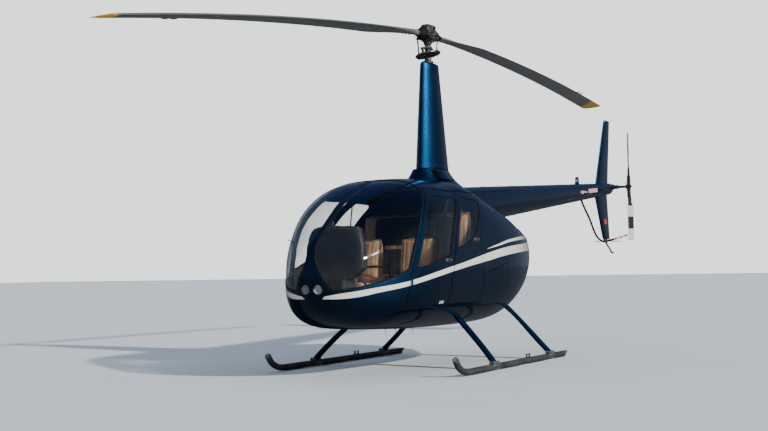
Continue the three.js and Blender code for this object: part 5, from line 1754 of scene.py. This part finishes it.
def makeGrilles():
    # angled slats in the two outlets beside the tail cone, with a wire screen behind them
    bm = bmesh.new()
    # a dark wall between the two outlets: painted shade for the engine bay behind the slats
    addBlock(bm, spotAt(0, 1470, 1278) @ Matrix.Rotation(-0.19, 4, "X"), (60, 690, 228))
    made("outlet_wall", bm, "rubber")
    for side, label in bothSides:
        bm = bmesh.new()
        for k in range(louvres["count"]):
            y = louvres["from"] + k * louvres["step"]
            z = louvres["top"] - louvres["fall"] * (y - louvres["from"]) - louvres["height"] / 2
            point, normal = onSide(y, z, side, -12)
            addBlock(bm, facing(point, normal) @ Matrix.Rotation(math.radians(-32), 4, "Y"),
                (66, louvres["height"] + 6, 3), bevel=1)
        for height in range(4):
            row = [onSide(y, louvres["top"] - louvres["fall"] * (y - louvres["from"]) - 4 - height * 18,
                side, -22) for y in range(1165, 1800, 35)]
            addBand(bm, row, flatBand(1.6, -1.5, 1.5), closed=False)
        for y in range(1170, 1800, 21):
            z = louvres["top"] - louvres["fall"] * (y - louvres["from"])
            row = [onSide(y, z - up, side, -24) for up in (4, 22, 40, 58)]
            addBand(bm, row, flatBand(1.4, -1.2, 1.2), closed=False)
        made(f"outlet_slats_{label}", bm, "satinBlack", f"cowl_grille_{label}")


exhaustPlan = {"start": (0, 1350, 900), "end": (0, 1620, 600), "radius": 80}


def makeExhaust():
    start, end = at(*exhaustPlan["start"]), at(*exhaustPlan["end"])
    length, r = (end - start).length * 1000, exhaustPlan["radius"]
    bm = bmesh.new()
    pipe = facing(start, end - start, (1, 0, 0))
    addLathe(bm, pipe, [(r, 0), (r, length * 0.4), (r - 3, length * 0.42), (r - 3, length * 0.5),
        (r, length * 0.52), (r, length - 3), (r - 1.5, length), (r - 3, length - 2), (r - 6, 4), (0, 4),
        (0, 0), (r, 0)], 72)
    made("exhaust_pipe", bm, "heatedSteel", "exhaust")
    bm = bmesh.new()
    addLathe(bm, pipe, [(r + 0.6, length * 0.3), (r + 5, length * 0.3), (r + 5, length * 0.34),
        (r + 0.6, length * 0.34), (r + 0.6, length * 0.3)], 60)
    addBlock(bm, pipe, (24, 26, 12), (r + 10, 0, length * 0.32), 2)
    made("exhaust_clamp", bm, "steel")


makeLamps()
makeBodyLines()
makeFittings()
makeGrilles()
makeExhaust()
print("lamps, vents and fittings made")

# the cabin's inside; seats first: middle x, widths and places in mm
seat = {"x": 292, "bulge": 24, "frames": 20, "pressure": 4.0}
cushions = {
    # centre, half sizes, lean backwards, remesh size
    "front_base": ((292, -1205, 800), (172, 236, 34), 0.03, 7),
    "front_back": ((292, -922, 1062), (176, 38, 200), 0.13, 7),
    "rear_base": ((0, -610, 795), (505, 160, 34), 0.03, 9),
    "rear_back": ((0, -410, 1190), (585, 34, 320), 0.2, 9),
}


def padBlock(name, half):
    # a soft block: rounded edges and enough faces to bulge
    bm = bmesh.new()
    spread = Matrix.Diagonal([h * 2 / 1000 for h in half] + [1])
    bmesh.ops.create_cube(bm, size=1, matrix=spread)
    edge = min(half) * 0.9 / 1000
    bmesh.ops.bevel(bm, geom=list(bm.edges), offset=edge, offset_type="OFFSET", affect="EDGES",
        segments=4, profile=0.5, material=-1)
    bmesh.ops.recalc_face_normals(bm, faces=bm.faces)
    mesh = bpy.data.meshes.new(name)
    bm.to_mesh(mesh)
    bm.free()
    return linkObject(name, mesh)


def puffed(piece, half, voxel):
    # fills the pad under pressure, with its travel capped, and gives back plain mesh data
    remesh = piece.modifiers.new("skin", "REMESH")
    remesh.mode, remesh.voxel_size = "VOXEL", voxel / 1000
    mesh = bpy.data.meshes.new_from_object(piece.evaluated_get(bpy.context.evaluated_depsgraph_get()))
    piece.modifiers.clear()
    piece.data = mesh
    start = [v.co.copy() for v in mesh.vertices]
    cloth = piece.modifiers.new("cloth", "CLOTH")
    cloth.settings.use_pressure = True
    cloth.settings.uniform_pressure_force = seat["pressure"]
    cloth.settings.effector_weights.gravity = 0
    cloth.settings.quality = 4
    cloth.collision_settings.use_collision = False
    for step in range(1, seat["frames"] + 1):
        scene.frame_set(step)
    filled = bpy.data.meshes.new_from_object(piece.evaluated_get(bpy.context.evaluated_depsgraph_get()))
    piece.modifiers.clear()
    ends = [v.co.copy() for v in filled.vertices]
    scene.frame_set(1)
    cap = seat["bulge"] / 1000
    thin = min(range(3), key=lambda i: half[i])
    for vert, a, b in zip(mesh.vertices, start, ends):
        move = b - a
        # a crown that falls away towards the edges, and never more than the cap
        crown = 1
        for i in range(3):
            if i != thin:
                crown *= max(0.0, 1 - (abs(a[i]) * 1000 / half[i]) ** 4)
        lift = Vector((0, 0, 0))
        lift[thin] = math.copysign(0.006 * crown, a[thin])
        move = move * min(1, cap / max(move.length, 1e-9)) * 0.5 + lift
        vert.co = a + move
    return piece


def sewn(piece, lines, width, depth, thin):
    # sewn channels: lines are (axis, place) in mm; the cloth is drawn in along each
    for vert in piece.data.vertices:
        draw = 0.0
        for axis, place, fromEnd, toEnd in lines:
            other = [i for i in range(3) if i not in (axis, thin)][0]
            if fromEnd / 1000 <= vert.co[other] <= toEnd / 1000:
                off = abs(vert.co[axis] * 1000 - place) / width
                draw = max(draw, math.exp(-off * off * 2.2))
        vert.co[thin] -= math.copysign(depth / 1000 * draw, vert.co[thin])
    return piece


def makePad(label, lines):
    centre, half, lean, voxel = cushions[label]
    pad = puffed(padBlock(f"{label}_pad", [h - 6 for h in half]), half, voxel)
    thin = min(range(3), key=lambda i: half[i])
    sewn(pad, lines, 7, 9, thin)
    smooth = pad.modifiers.new("smooth", "SUBSURF")
    smooth.levels = smooth.render_levels = 1
    mesh = bpy.data.meshes.new_from_object(pad.evaluated_get(bpy.context.evaluated_depsgraph_get()))
    bpy.data.objects.remove(pad)
    mesh.materials.clear()
    for look in ("tanLeather", "darkCloth"):
        mesh.materials.append(finish[look])
    for polygon in mesh.polygons:
        polygon.use_smooth = True
        x, y, z = (c * 1000 for c in polygon.center)
        # the bench's back has a dark middle, painted shade where the light does not reach, with a tan roll
        # across it; the base has dark bands
        if label == "rear_back" and abs(x) < 425 and not (-38 < z < 2 and abs(x) < 300):
            polygon.material_index = 1
        if label == "rear_base" and 170 < abs(x) < 340:
            polygon.material_index = 1
    mesh.transform(spotAt(*centre) @ Matrix.Rotation(-lean, 4, "X"))
    return mesh


def pipeRound(bm, half, centre, lean, thin, inset, radius):
    # piping round a pad's edge, on the side that is sat on
    steps, path = 72, []
    turn = spotAt(*centre) @ Matrix.Rotation(-lean, 4, "X")
    wide = [i for i in range(3) if i != thin]
    for k in range(steps):
        t = k / steps * math.tau
        c, s = math.cos(t), math.sin(t)
        r = (abs(c) ** 5 + abs(s) ** 5) ** (-1 / 5)
        point = [0, 0, 0]
        point[wide[0]] = (half[wide[0]] - inset) * c * r / 1000
        point[wide[1]] = (half[wide[1]] - inset) * s * r / 1000
        point[thin] = (half[thin] - 4) / 1000 * (-1 if thin == 1 else 1)
        path.append(turn @ Vector(point))
    up = turn.to_3x3() @ Vector([-1 if i == 1 == thin else 1 if i == thin else 0 for i in range(3)])
    addBand(bm, [(p, up) for p in path], [(-radius, -1), (0, -radius), (radius, -1),
        (radius * 0.7, radius * 0.8), (-radius * 0.7, radius * 0.8)])


def addSeats():
    lines = {"front_base": [(0, -62, -236, 236), (0, 62, -236, 236), (0, 0, -190, 190),
        (1, -150, -170, 170)], "front_back": [(0, -104, -190, 190), (0, -52, -150, 150),
        (0, 0, -150, 150), (0, 52, -150, 150), (0, 104, -190, 190)],
        "rear_base": [(0, x, -160, 160) for x in (-340, -170, -85, 0, 85, 170, 340)],
        "rear_back": [(0, x, -320, 320) for x in (-500, -420, -340, -255, -170, -85, 0, 85, 170, 255, 340,
        420, 500)],}
    for label in cushions:
        mesh = makePad(label, lines[label])
        centre, half, lean, voxel = cushions[label]
        thin = min(range(3), key=lambda i: half[i])
        bm = bmesh.new()
        pipeRound(bm, half, centre, lean, thin, 22, 4)
        if label.startswith("front"):
            sides = (("left", 0), ("right", -2 * seat["x"] / 1000))
        else:
            sides = (("bench", 0),)
        tidy(bm)
        pipe = pieceFrom(f"{label}_pipe", bm, [finish["tanLeather"]])
        for side, shift in sides:
            pad = linkObject(f"{label}_cushion_{side}", mesh.copy())
            pad.data.transform(Matrix.Translation((shift, 0, 0)))
            settle(pad, "airframe", slot="seat_leather")
            trim = linkObject(f"{label}_piping_{side}", pipe.data.copy())
            trim.data.transform(Matrix.Translation((shift, 0, 0)))
            settle(trim, "airframe", slot="seat_leather")
        bpy.data.objects.remove(pipe)


# shells that carry the cushions: z rows with half width, front and rear y
seatShells = {"front": [(604, 170, -1400, -905), (700, 172, -1420, -900), (755, 186, -1452, -905),
    (764, 186, -1450, -905)], "frontBack": [(764, 176, -905, -862), (860, 178, -900, -856),
    (1000, 178, -888, -846), (1180, 170, -862, -822), (1250, 150, -850, -815), (1262, 120, -846, -817)],
    "rear": [(604, 540, -745, -400), (700, 550, -765, -398), (750, 570, -792, -398),
    (758, 570, -790, -398)], "rearBack": [(758, 590, -402, -372), (900, 600, -400, -362),
    (1200, 600, -375, -335), (1330, 592, -345, -310), (1500, 560, -300, -272), (1515, 550, -295, -270)]}


def blockRings(bm, rows, middleX, around=64, round=9, thinStep=3):
    rings = []
    for z, half, front, rear in denser(rows, thinStep):
        def place(turn, z=z, half=half, front=front, rear=rear):
            x, y = squareRing(turn, half, front, rear, round)
            return at(middleX + x, y, z)
        rings.append(ringAt(bm, around, place))
    loftRings(bm, rings)


def makeSeatShells():
    for side, label in bothSides:
        bm = bmesh.new()
        blockRings(bm, seatShells["front"], side * seat["x"])
        blockRings(bm, seatShells["frontBack"], side * seat["x"])
        made(f"seat_box_{label}", bm, "seatShell", f"seat_front_{label}")
    bm = bmesh.new()
    blockRings(bm, seatShells["rear"], 0, 96)
    blockRings(bm, seatShells["rearBack"], 0, 96)
    made("bench_box", bm, "seatShell", "seat_rear")


def strapAlong(bm, points, width=46, thick=2.2, step=22, facingUp=(0, -1, 0.3)):
    path = smoothPath(points, step)
    row = []
    for i, point in enumerate(path):
        way = (path[min(i + 1, len(path) - 1)] - path[max(i - 1, 0)]).normalized()
        up = Vector(facingUp)
        row.append((point, (up - way * up.dot(way)).normalized()))
    addBand(bm, row, [(-width / 2, 0), (width / 2, 0), (width / 2, thick), (-width / 2, thick)], closed=False)


def makeBelts():
    bm = bmesh.new()
    buckles = bmesh.new()
    tongues = bmesh.new()
    for x, front in ((292, True), (-292, True), (-340, False), (0, False), (340, False)):
        out = 1 if x > 0 else -1
        if front:
            strapAlong(bm, [(x + out * 238, -700, 1632), (x + out * 222, -760, 1480),
                (x + out * 200, -850, 1240), (x + out * 198, -900, 1040), (x + out * 192, -950, 880),
                (x + out * 178, -985, 832)], facingUp=(out, -0.3, 0))
            strapAlong(bm, [(x + out * 178, -985, 830), (x + out * 120, -1040, 858), (x, -1070, 866),
                (x - out * 110, -1045, 860), (x - out * 178, -985, 834)], facingUp=(0, -0.2, 1))
            spot = spotAt(x - out * 118, -1046, 870) @ Matrix.Rotation(0.2, 4, "X")
        else:
            strapAlong(bm, [(x + 120, -486, 835), (x + 70, -540, 850), (x, -560, 853),
                (x - 70, -540, 850), (x - 120, -486, 835)], facingUp=(0, -0.2, 1))
            spot = spotAt(x + 30, -558, 860)
        addBlock(buckles, spot, (62, 44, 18), bevel=6, segments=3)
        addBlock(tongues, spot, (40, 30, 4), (44, 0, 2), 2)
    made("belts", bm, "beltWeb")
    made("belt_buckles", buckles, "buckleRed")
    made("belt_tongues", tongues, "steel")


# the pod: z, half width, front y, rear y; its face leans, with round dials
podPlan = {"rows": [(606, 128, -2055, -1700), (780, 128, -2055, -1762), (880, 126, -2045, -1850),
    (905, 200, -2030, -1885), (985, 298, -2015, -1895), (1185, 290, -2006, -1905),
    (1275, 262, -1996, -1912), (1335, 226, -1982, -1922), (1345, 215, -1975, -1930)],
    "dials": [(-205, 1215, 40), (-105, 1228, 40), (0, 1232, 40), (105, 1228, 40), (205, 1215, 40),
    (-215, 1112, 40), (-112, 1122, 40), (112, 1122, 40), (215, 1112, 40), (-205, 1020, 30),
    (205, 1020, 30), (-125, 1026, 30), (125, 1026, 30)], "faceY": -1896}


def makePod():
    bm = bmesh.new()
    blockRings(bm, podPlan["rows"], 0, 96, 7)
    made("panel_shell", bm, "darkTrim", "instrument_pod")
    rims, faces, marks = bmesh.new(), bmesh.new(), bmesh.new()
    for x, z, radius in podPlan["dials"]:
        y = podPlan["faceY"] if z < 1150 else podPlan["faceY"] - (z - 1150) * 0.12
        dial = facing(at(x, y - 6, z), (0, 1, 0.12), (1, 0, 0))
        addLathe(rims, dial, [(radius - 3, 4), (radius - 3, 9), (radius, 11), (radius + 2, 9),
            (radius + 2, -6)], 40)
        addLathe(faces, dial, [(0, 5), (radius - 3, 5), (radius - 3, 0)], 40)
        for k in range(10):
            turn = dial @ Matrix.Rotation(k / 12 * math.tau - 0.6, 4, "Z")
            addBlock(marks, turn, (radius * 0.18, 1.6, 0.6), (radius * 0.75, 0, 5.4))
        addBlock(marks, dial @ Matrix.Rotation(x * 0.013 + z * 0.02, 4, "Z"), (radius * 0.72, 2.2, 0.8),
            (radius * 0.26, 0, 6.2))
    for k in range(4):
        tray = spotAt(0, podPlan["faceY"] + 4, 1092 - k * 46)
        addBlock(rims, tray, (158, 14, 40), bevel=3)
        addBlock(faces, tray, (96, 3, 20), (-14, 7, 2), 0.8)
        for x in (-68, 56, 70):
            addPin(rims, facing(tray @ Vector((x / 1000, 0.007, 0)), (0, 1, 0), (1, 0, 0)), 6, 10, 20, 0.85)
    for k in range(7):
        knob = at(-90 + k * 30, -1838, 872)
        addPin(rims, facing(knob, (0, 0.6, 0.8), (1, 0, 0)), 4, 14, 12, 0.7)
    made("panel_rims", rims, "satinBlack")
    made("panel_glass", faces, "dialFace")
    made("panel_marks", marks, "whitePaint")
    # the glare shield: a padded hood over the dials
    bm = bmesh.new()
    rows = [(1290, 262, -1998, -1890), (1318, 248, -1994, -1868), (1340, 226, -1988, -1862),
        (1354, 190, -1978, -1868), (1360, 140, -1966, -1880)]
    blockRings(bm, rows, 0, 96, 5)
    addPin(bm, spotAt(0, -1930, 1357), 22, 8, 28, 0.9)
    made("glare_shield", bm, "darkTrim")


def makeControls():
    bm = bmesh.new()
    addTube(bm, smoothPath([(0, -1640, 604), (0, -1636, 760), (0, -1600, 880), (0, -1520, 962),
        (0, -1500, 986)], 20), 15, 20, up=(1, 0, 0))
    addTube(bm, smoothPath([(-286, -1500, 978), (-200, -1500, 990), (0, -1500, 990), (200, -1500, 990),
        (286, -1500, 978)], 20), 11, 18)
    addLathe(bm, facing(at(-34, -1500, 989), (1, 0, 0)), [(0, 0), (22, 0), (24, 4), (24, 64), (22, 68),
        (0, 68)], 32)
    made("cyclic_bar", bm, "satinBlack", "cyclic")
    bm = bmesh.new()
    for side in (1, -1):
        grip = facing(at(side * 286, -1500, 1000), (side * 0.15, 0.12, -1), (1, 0, 0))
        addLathe(bm, grip, [(0, -22), (14, -20), (19, -12), (17, 0), (14.5, 14), (16.5, 28), (14.5, 42),
            (16.5, 56), (14.5, 70), (17, 84), (17, 96), (14, 102), (0, 104)], 32)
        addPin(bm, grip @ Matrix.Translation((0, 0.012, -0.018)), 5, 12, 16)
    made("cyclic_grips", bm, "rubber")
    # collective levers by the seats and the pedals
    bm = bmesh.new()
    for x in (-76, 508):
        addTube(bm, smoothPath([(x, -1010, 690), (x, -1180, 760), (x, -1320, 850), (x, -1370, 884)], 24),
            11, 16, up=(1, 0, 0))
        addTube(bm, smoothPath([(x, -1330, 857), (x, -1420, 918)], 24), 18, 20, up=(1, 0, 0))
    for x in (220, 364, -220, -364):
        addTube(bm, smoothPath([(x, -1960, 620), (x, -1985, 700), (x, -1990, 760)], 20), 8, 14, up=(1, 0, 0))
        pedal = spotAt(x, -1978, 762) @ Matrix.Rotation(0.35, 4, "X")
        addBlock(bm, pedal, (84, 9, 56), bevel=3)
        for k in range(4):
            addBlock(bm, pedal, (76, 4, 4), (0, 6, -20 + k * 13), 1)
    made("levers_and_pedals", bm, "satinBlack")


def makeCabinTrim():
    # carpet, rear bulkhead, roof panel, tunnel between the seats, compass and gauge
    bm = bmesh.new()
    rings = []
    for z, inset in ((604.3, 62), (611, 62), (614, 66)):
        ends = [(y, skinHalf(y, 609) - inset) for y in range(-2040, -379, 40)]
        outline = ends + [(y, -half) for y, half in ends[::-1]]
        rings.append(ringAt(bm, len(outline), lambda t, z=z, o=outline: at(o[round(t / math.tau
            * len(o)) % len(o)][1], o[round(t / math.tau * len(o)) % len(o)][0], z)))
    loops = [ringEdges(ring) for ring in rings]
    for first, second in zip(loops, loops[1:]):
        bmesh.ops.bridge_loops(bm, edges=list(dict.fromkeys(first + second)))
    bmesh.ops.triangle_fill(bm, edges=list(dict.fromkeys(loops[-1])), use_beauty=True)
    bmesh.ops.triangle_fill(bm, edges=list(dict.fromkeys(loops[0])), use_beauty=True)
    made("carpet", bm, "carpet")
    bm = bmesh.new()
    blockRings(bm, [(606, 88, -1700, -850), (740, 86, -1660, -855), (772, 78, -1640, -860),
        (780, 66, -1625, -868)], 0, 72, 7)
    addBlock(bm, spotAt(0, -1010, 800), (120, 260, 60), bevel=16, segments=4)
    made("centre_tunnel", bm, "darkTrim")
    bm = bmesh.new()
    rows = [(606, 640, -372, -352), (900, 655, -366, -346), (1240, 630, -330, -310),
        (1400, 560, -282, -262), (1560, 440, -232, -212), (1690, 300, -202, -182)]
    blockRings(bm, rows, 0, 96, 9)
    made("rear_bulkhead", bm, "greyLiner")
    bm = bmesh.new()
    addBlock(bm, spotAt(0, -800, 1752), (300, 620, 30), bevel=12, segments=3)
    for x in (-90, 90):
        addLathe(bm, facing(at(x, -900, 1737), (0, 0, -1), (1, 0, 0)),
            [(0, 6), (16, 6), (24, 2), (26, -2)], 28)
    made("roof_console", bm, "darkTrim")
    bm = bmesh.new()
    ball = spotAt(-80, -1915, 1380)
    addBlock(bm, ball, (74, 58, 56), bevel=20, segments=4)
    addPin(bm, facing(at(-80, -1915, 1345), (0, 0, 1), (1, 0, 0)), 15, 20, 20)
    gauge = facing(*onSide(-1962, 1238, -1, -22))
    addPin(bm, gauge, 27, 12, 32)
    addPin(bm, gauge, 4, 54, 12)
    made("compass", bm, "satinBlack")
    bm = bmesh.new()
    addPin(bm, facing(at(-80, -1887, 1380), (0, 1, 0), (1, 0, 0)), 20, 4, 28)
    made("compass_face", bm, "dialFace")


def makeDoorTrims():
    for place in doorOutlines:
        for side, label in bothSides:
            body = f"{place}_{label}_door"
            bm = bmesh.new()
            y, z = {"front": (-1380, 820), "rear": (-760, 860)}[place]
            pocket = facing(*onSide(y, z, side, -38))
            addBlock(bm, pocket, (380 if place == "front" else 300, 170, 10), (0, -20, 0), 4, 3)
            addBlock(bm, pocket, (330 if place == "front" else 250, 100, 16), (0, -40, -8), 7, 3)
            grip = [onSide(y + d, z + 105, side, -40 - h)[0] for d,
                h in ((-90, 0), (-80, 26), (-40, 36), (40, 36), (80, 26), (90, 0))]
            addTube(bm, grip, 9, 14)
            latch = facing(*onSide(handle[place][0] - 20, handle[place][1] - 10, side, -40))
            addBlock(bm, latch, (100, 20, 12), bevel=5)
            made(f"{place}_door_trim_{label}", bm, "darkTrim", body=body)


addSeats()
makeSeatShells()
makeBelts()
makePod()
makeControls()
makeCabinTrim()
makeDoorTrims()
print("cabin fitted")

# the CAD nodes that stay, with their finishes
for name, look in (("engine_block", "steel"), ("cabin_floor", "darkTrim")):
    mesh = frame["nodes"][name].data
    mesh.materials.clear()
    mesh.materials.append(finish[look])
print("kept nodes finished")

# floor, sky and lamps: strengths in watts or as given
studio = {"floorSize": 160, "floor": (0.78, 0.78, 0.77, 1), "floorMirrored": (0.12, 0.125, 0.13, 1),
    "floorLighting": (0.6, 0.6, 0.6, 1), "backdrop": (1.75, 1.78, 1.8, 1), "low": (0.3, 0.32, 0.36, 1),
    "high": (0.45, 0.55, 0.7, 1), "mirroredLow": (0.12, 0.145, 0.19, 1),
    "mirroredHigh": (0.02, 0.05, 0.15, 1), "skyFrom": 0.0, "skyTo": 0.6, "sunFrom": (0.885, -0.19, 0.42),
    "sunStrength": 4.4, "sunAngle": 1.6}


def seenStraight(tree):
    # 1 for what the camera sees, also through panes, and 0 for light and mirrored rays
    path = addNode(tree, "ShaderNodeLightPath")
    bounced = mathNode(tree, "ADD", path.outputs["Diffuse Depth"], path.outputs["Glossy Depth"], clamp=True)
    looked = mathNode(tree, "MAXIMUM", path.outputs["Is Camera Ray"], path.outputs["Is Transmission Ray"])
    return mathNode(tree, "MULTIPLY", looked, mathNode(tree, "SUBTRACT", 1.0, bounced)), path


def makeStudio():
    bm = bmesh.new()
    bmesh.ops.create_grid(bm, x_segments=1, y_segments=1, size=studio["floorSize"] / 2)
    bmesh.ops.translate(bm, vec=(0, 0, groundZ - 0.001), verts=bm.verts)
    material, tree, shader = newMaterial("paleFloor")
    tone = mixColour(tree, ramp(tree, noise(tree, 0.6, 4.0), 0.3, 0.7), studio["floor"],
        tuple(c * 0.93 for c in studio["floor"][:3]) + (1,))
    seen, path = seenStraight(tree)
    unseen = mixColour(tree, path.outputs["Is Diffuse Ray"], studio["floorMirrored"], studio["floorLighting"])
    tree.links.new(mixColour(tree, seen, unseen, tone), shader.inputs["Base Color"])
    setPlain(shader, Roughness=0.8, Specular_IOR_Level=0.1)
    floor = pieceFrom("floor", bm, [material])
    # one sky lights, a dimmer one is mirrored in the paint, and the pale backdrop is only looked at
    world = bpy.data.worlds.new("softSky")
    scene.world = world
    world.use_nodes = True
    tree = world.node_tree
    ray = addNode(tree, "ShaderNodeTexCoord").outputs["Generated"]
    height = addNode(tree, "ShaderNodeSeparateXYZ", Vector=ray).outputs[2]
    share = ramp(tree, height, studio["skyFrom"], studio["skyTo"])
    seen, path = seenStraight(tree)
    mirrored = mathNode(tree, "MINIMUM", path.outputs["Glossy Depth"], 1.0)
    sky = mixColour(tree, mirrored, mixColour(tree, share, studio["low"], studio["high"]),
        mixColour(tree, share, studio["mirroredLow"], studio["mirroredHigh"]))
    tree.links.new(mixColour(tree, seen, sky, studio["backdrop"]), tree.nodes["Background"].inputs[0])
    sun = bpy.data.lights.new("sun", "SUN")
    sun.energy, sun.angle = studio["sunStrength"], math.radians(studio["sunAngle"])
    lamp = bpy.data.objects.new("sun", sun)
    lamp.rotation_euler = Vector(studio["sunFrom"]).to_track_quat("Z", "Y").to_euler()
    scene.collection.objects.link(lamp)


def applyWalls():
    # the walls become plain mesh, so that their rims can be sharp
    shapes = bpy.context.evaluated_depsgraph_get()
    walled = [piece for piece in bpy.data.objects if "wall" in piece.modifiers]
    meshes = [bpy.data.meshes.new_from_object(piece.evaluated_get(shapes)) for piece in walled]
    for piece, mesh in zip(walled, meshes):
        piece.modifiers.clear()
        piece.data = mesh
        mesh.set_sharp_from_angle(angle=math.radians(35))


makeStudio()
for block in cutters.values():
    bpy.data.objects.remove(block)
applyWalls()
print("pieces placed")
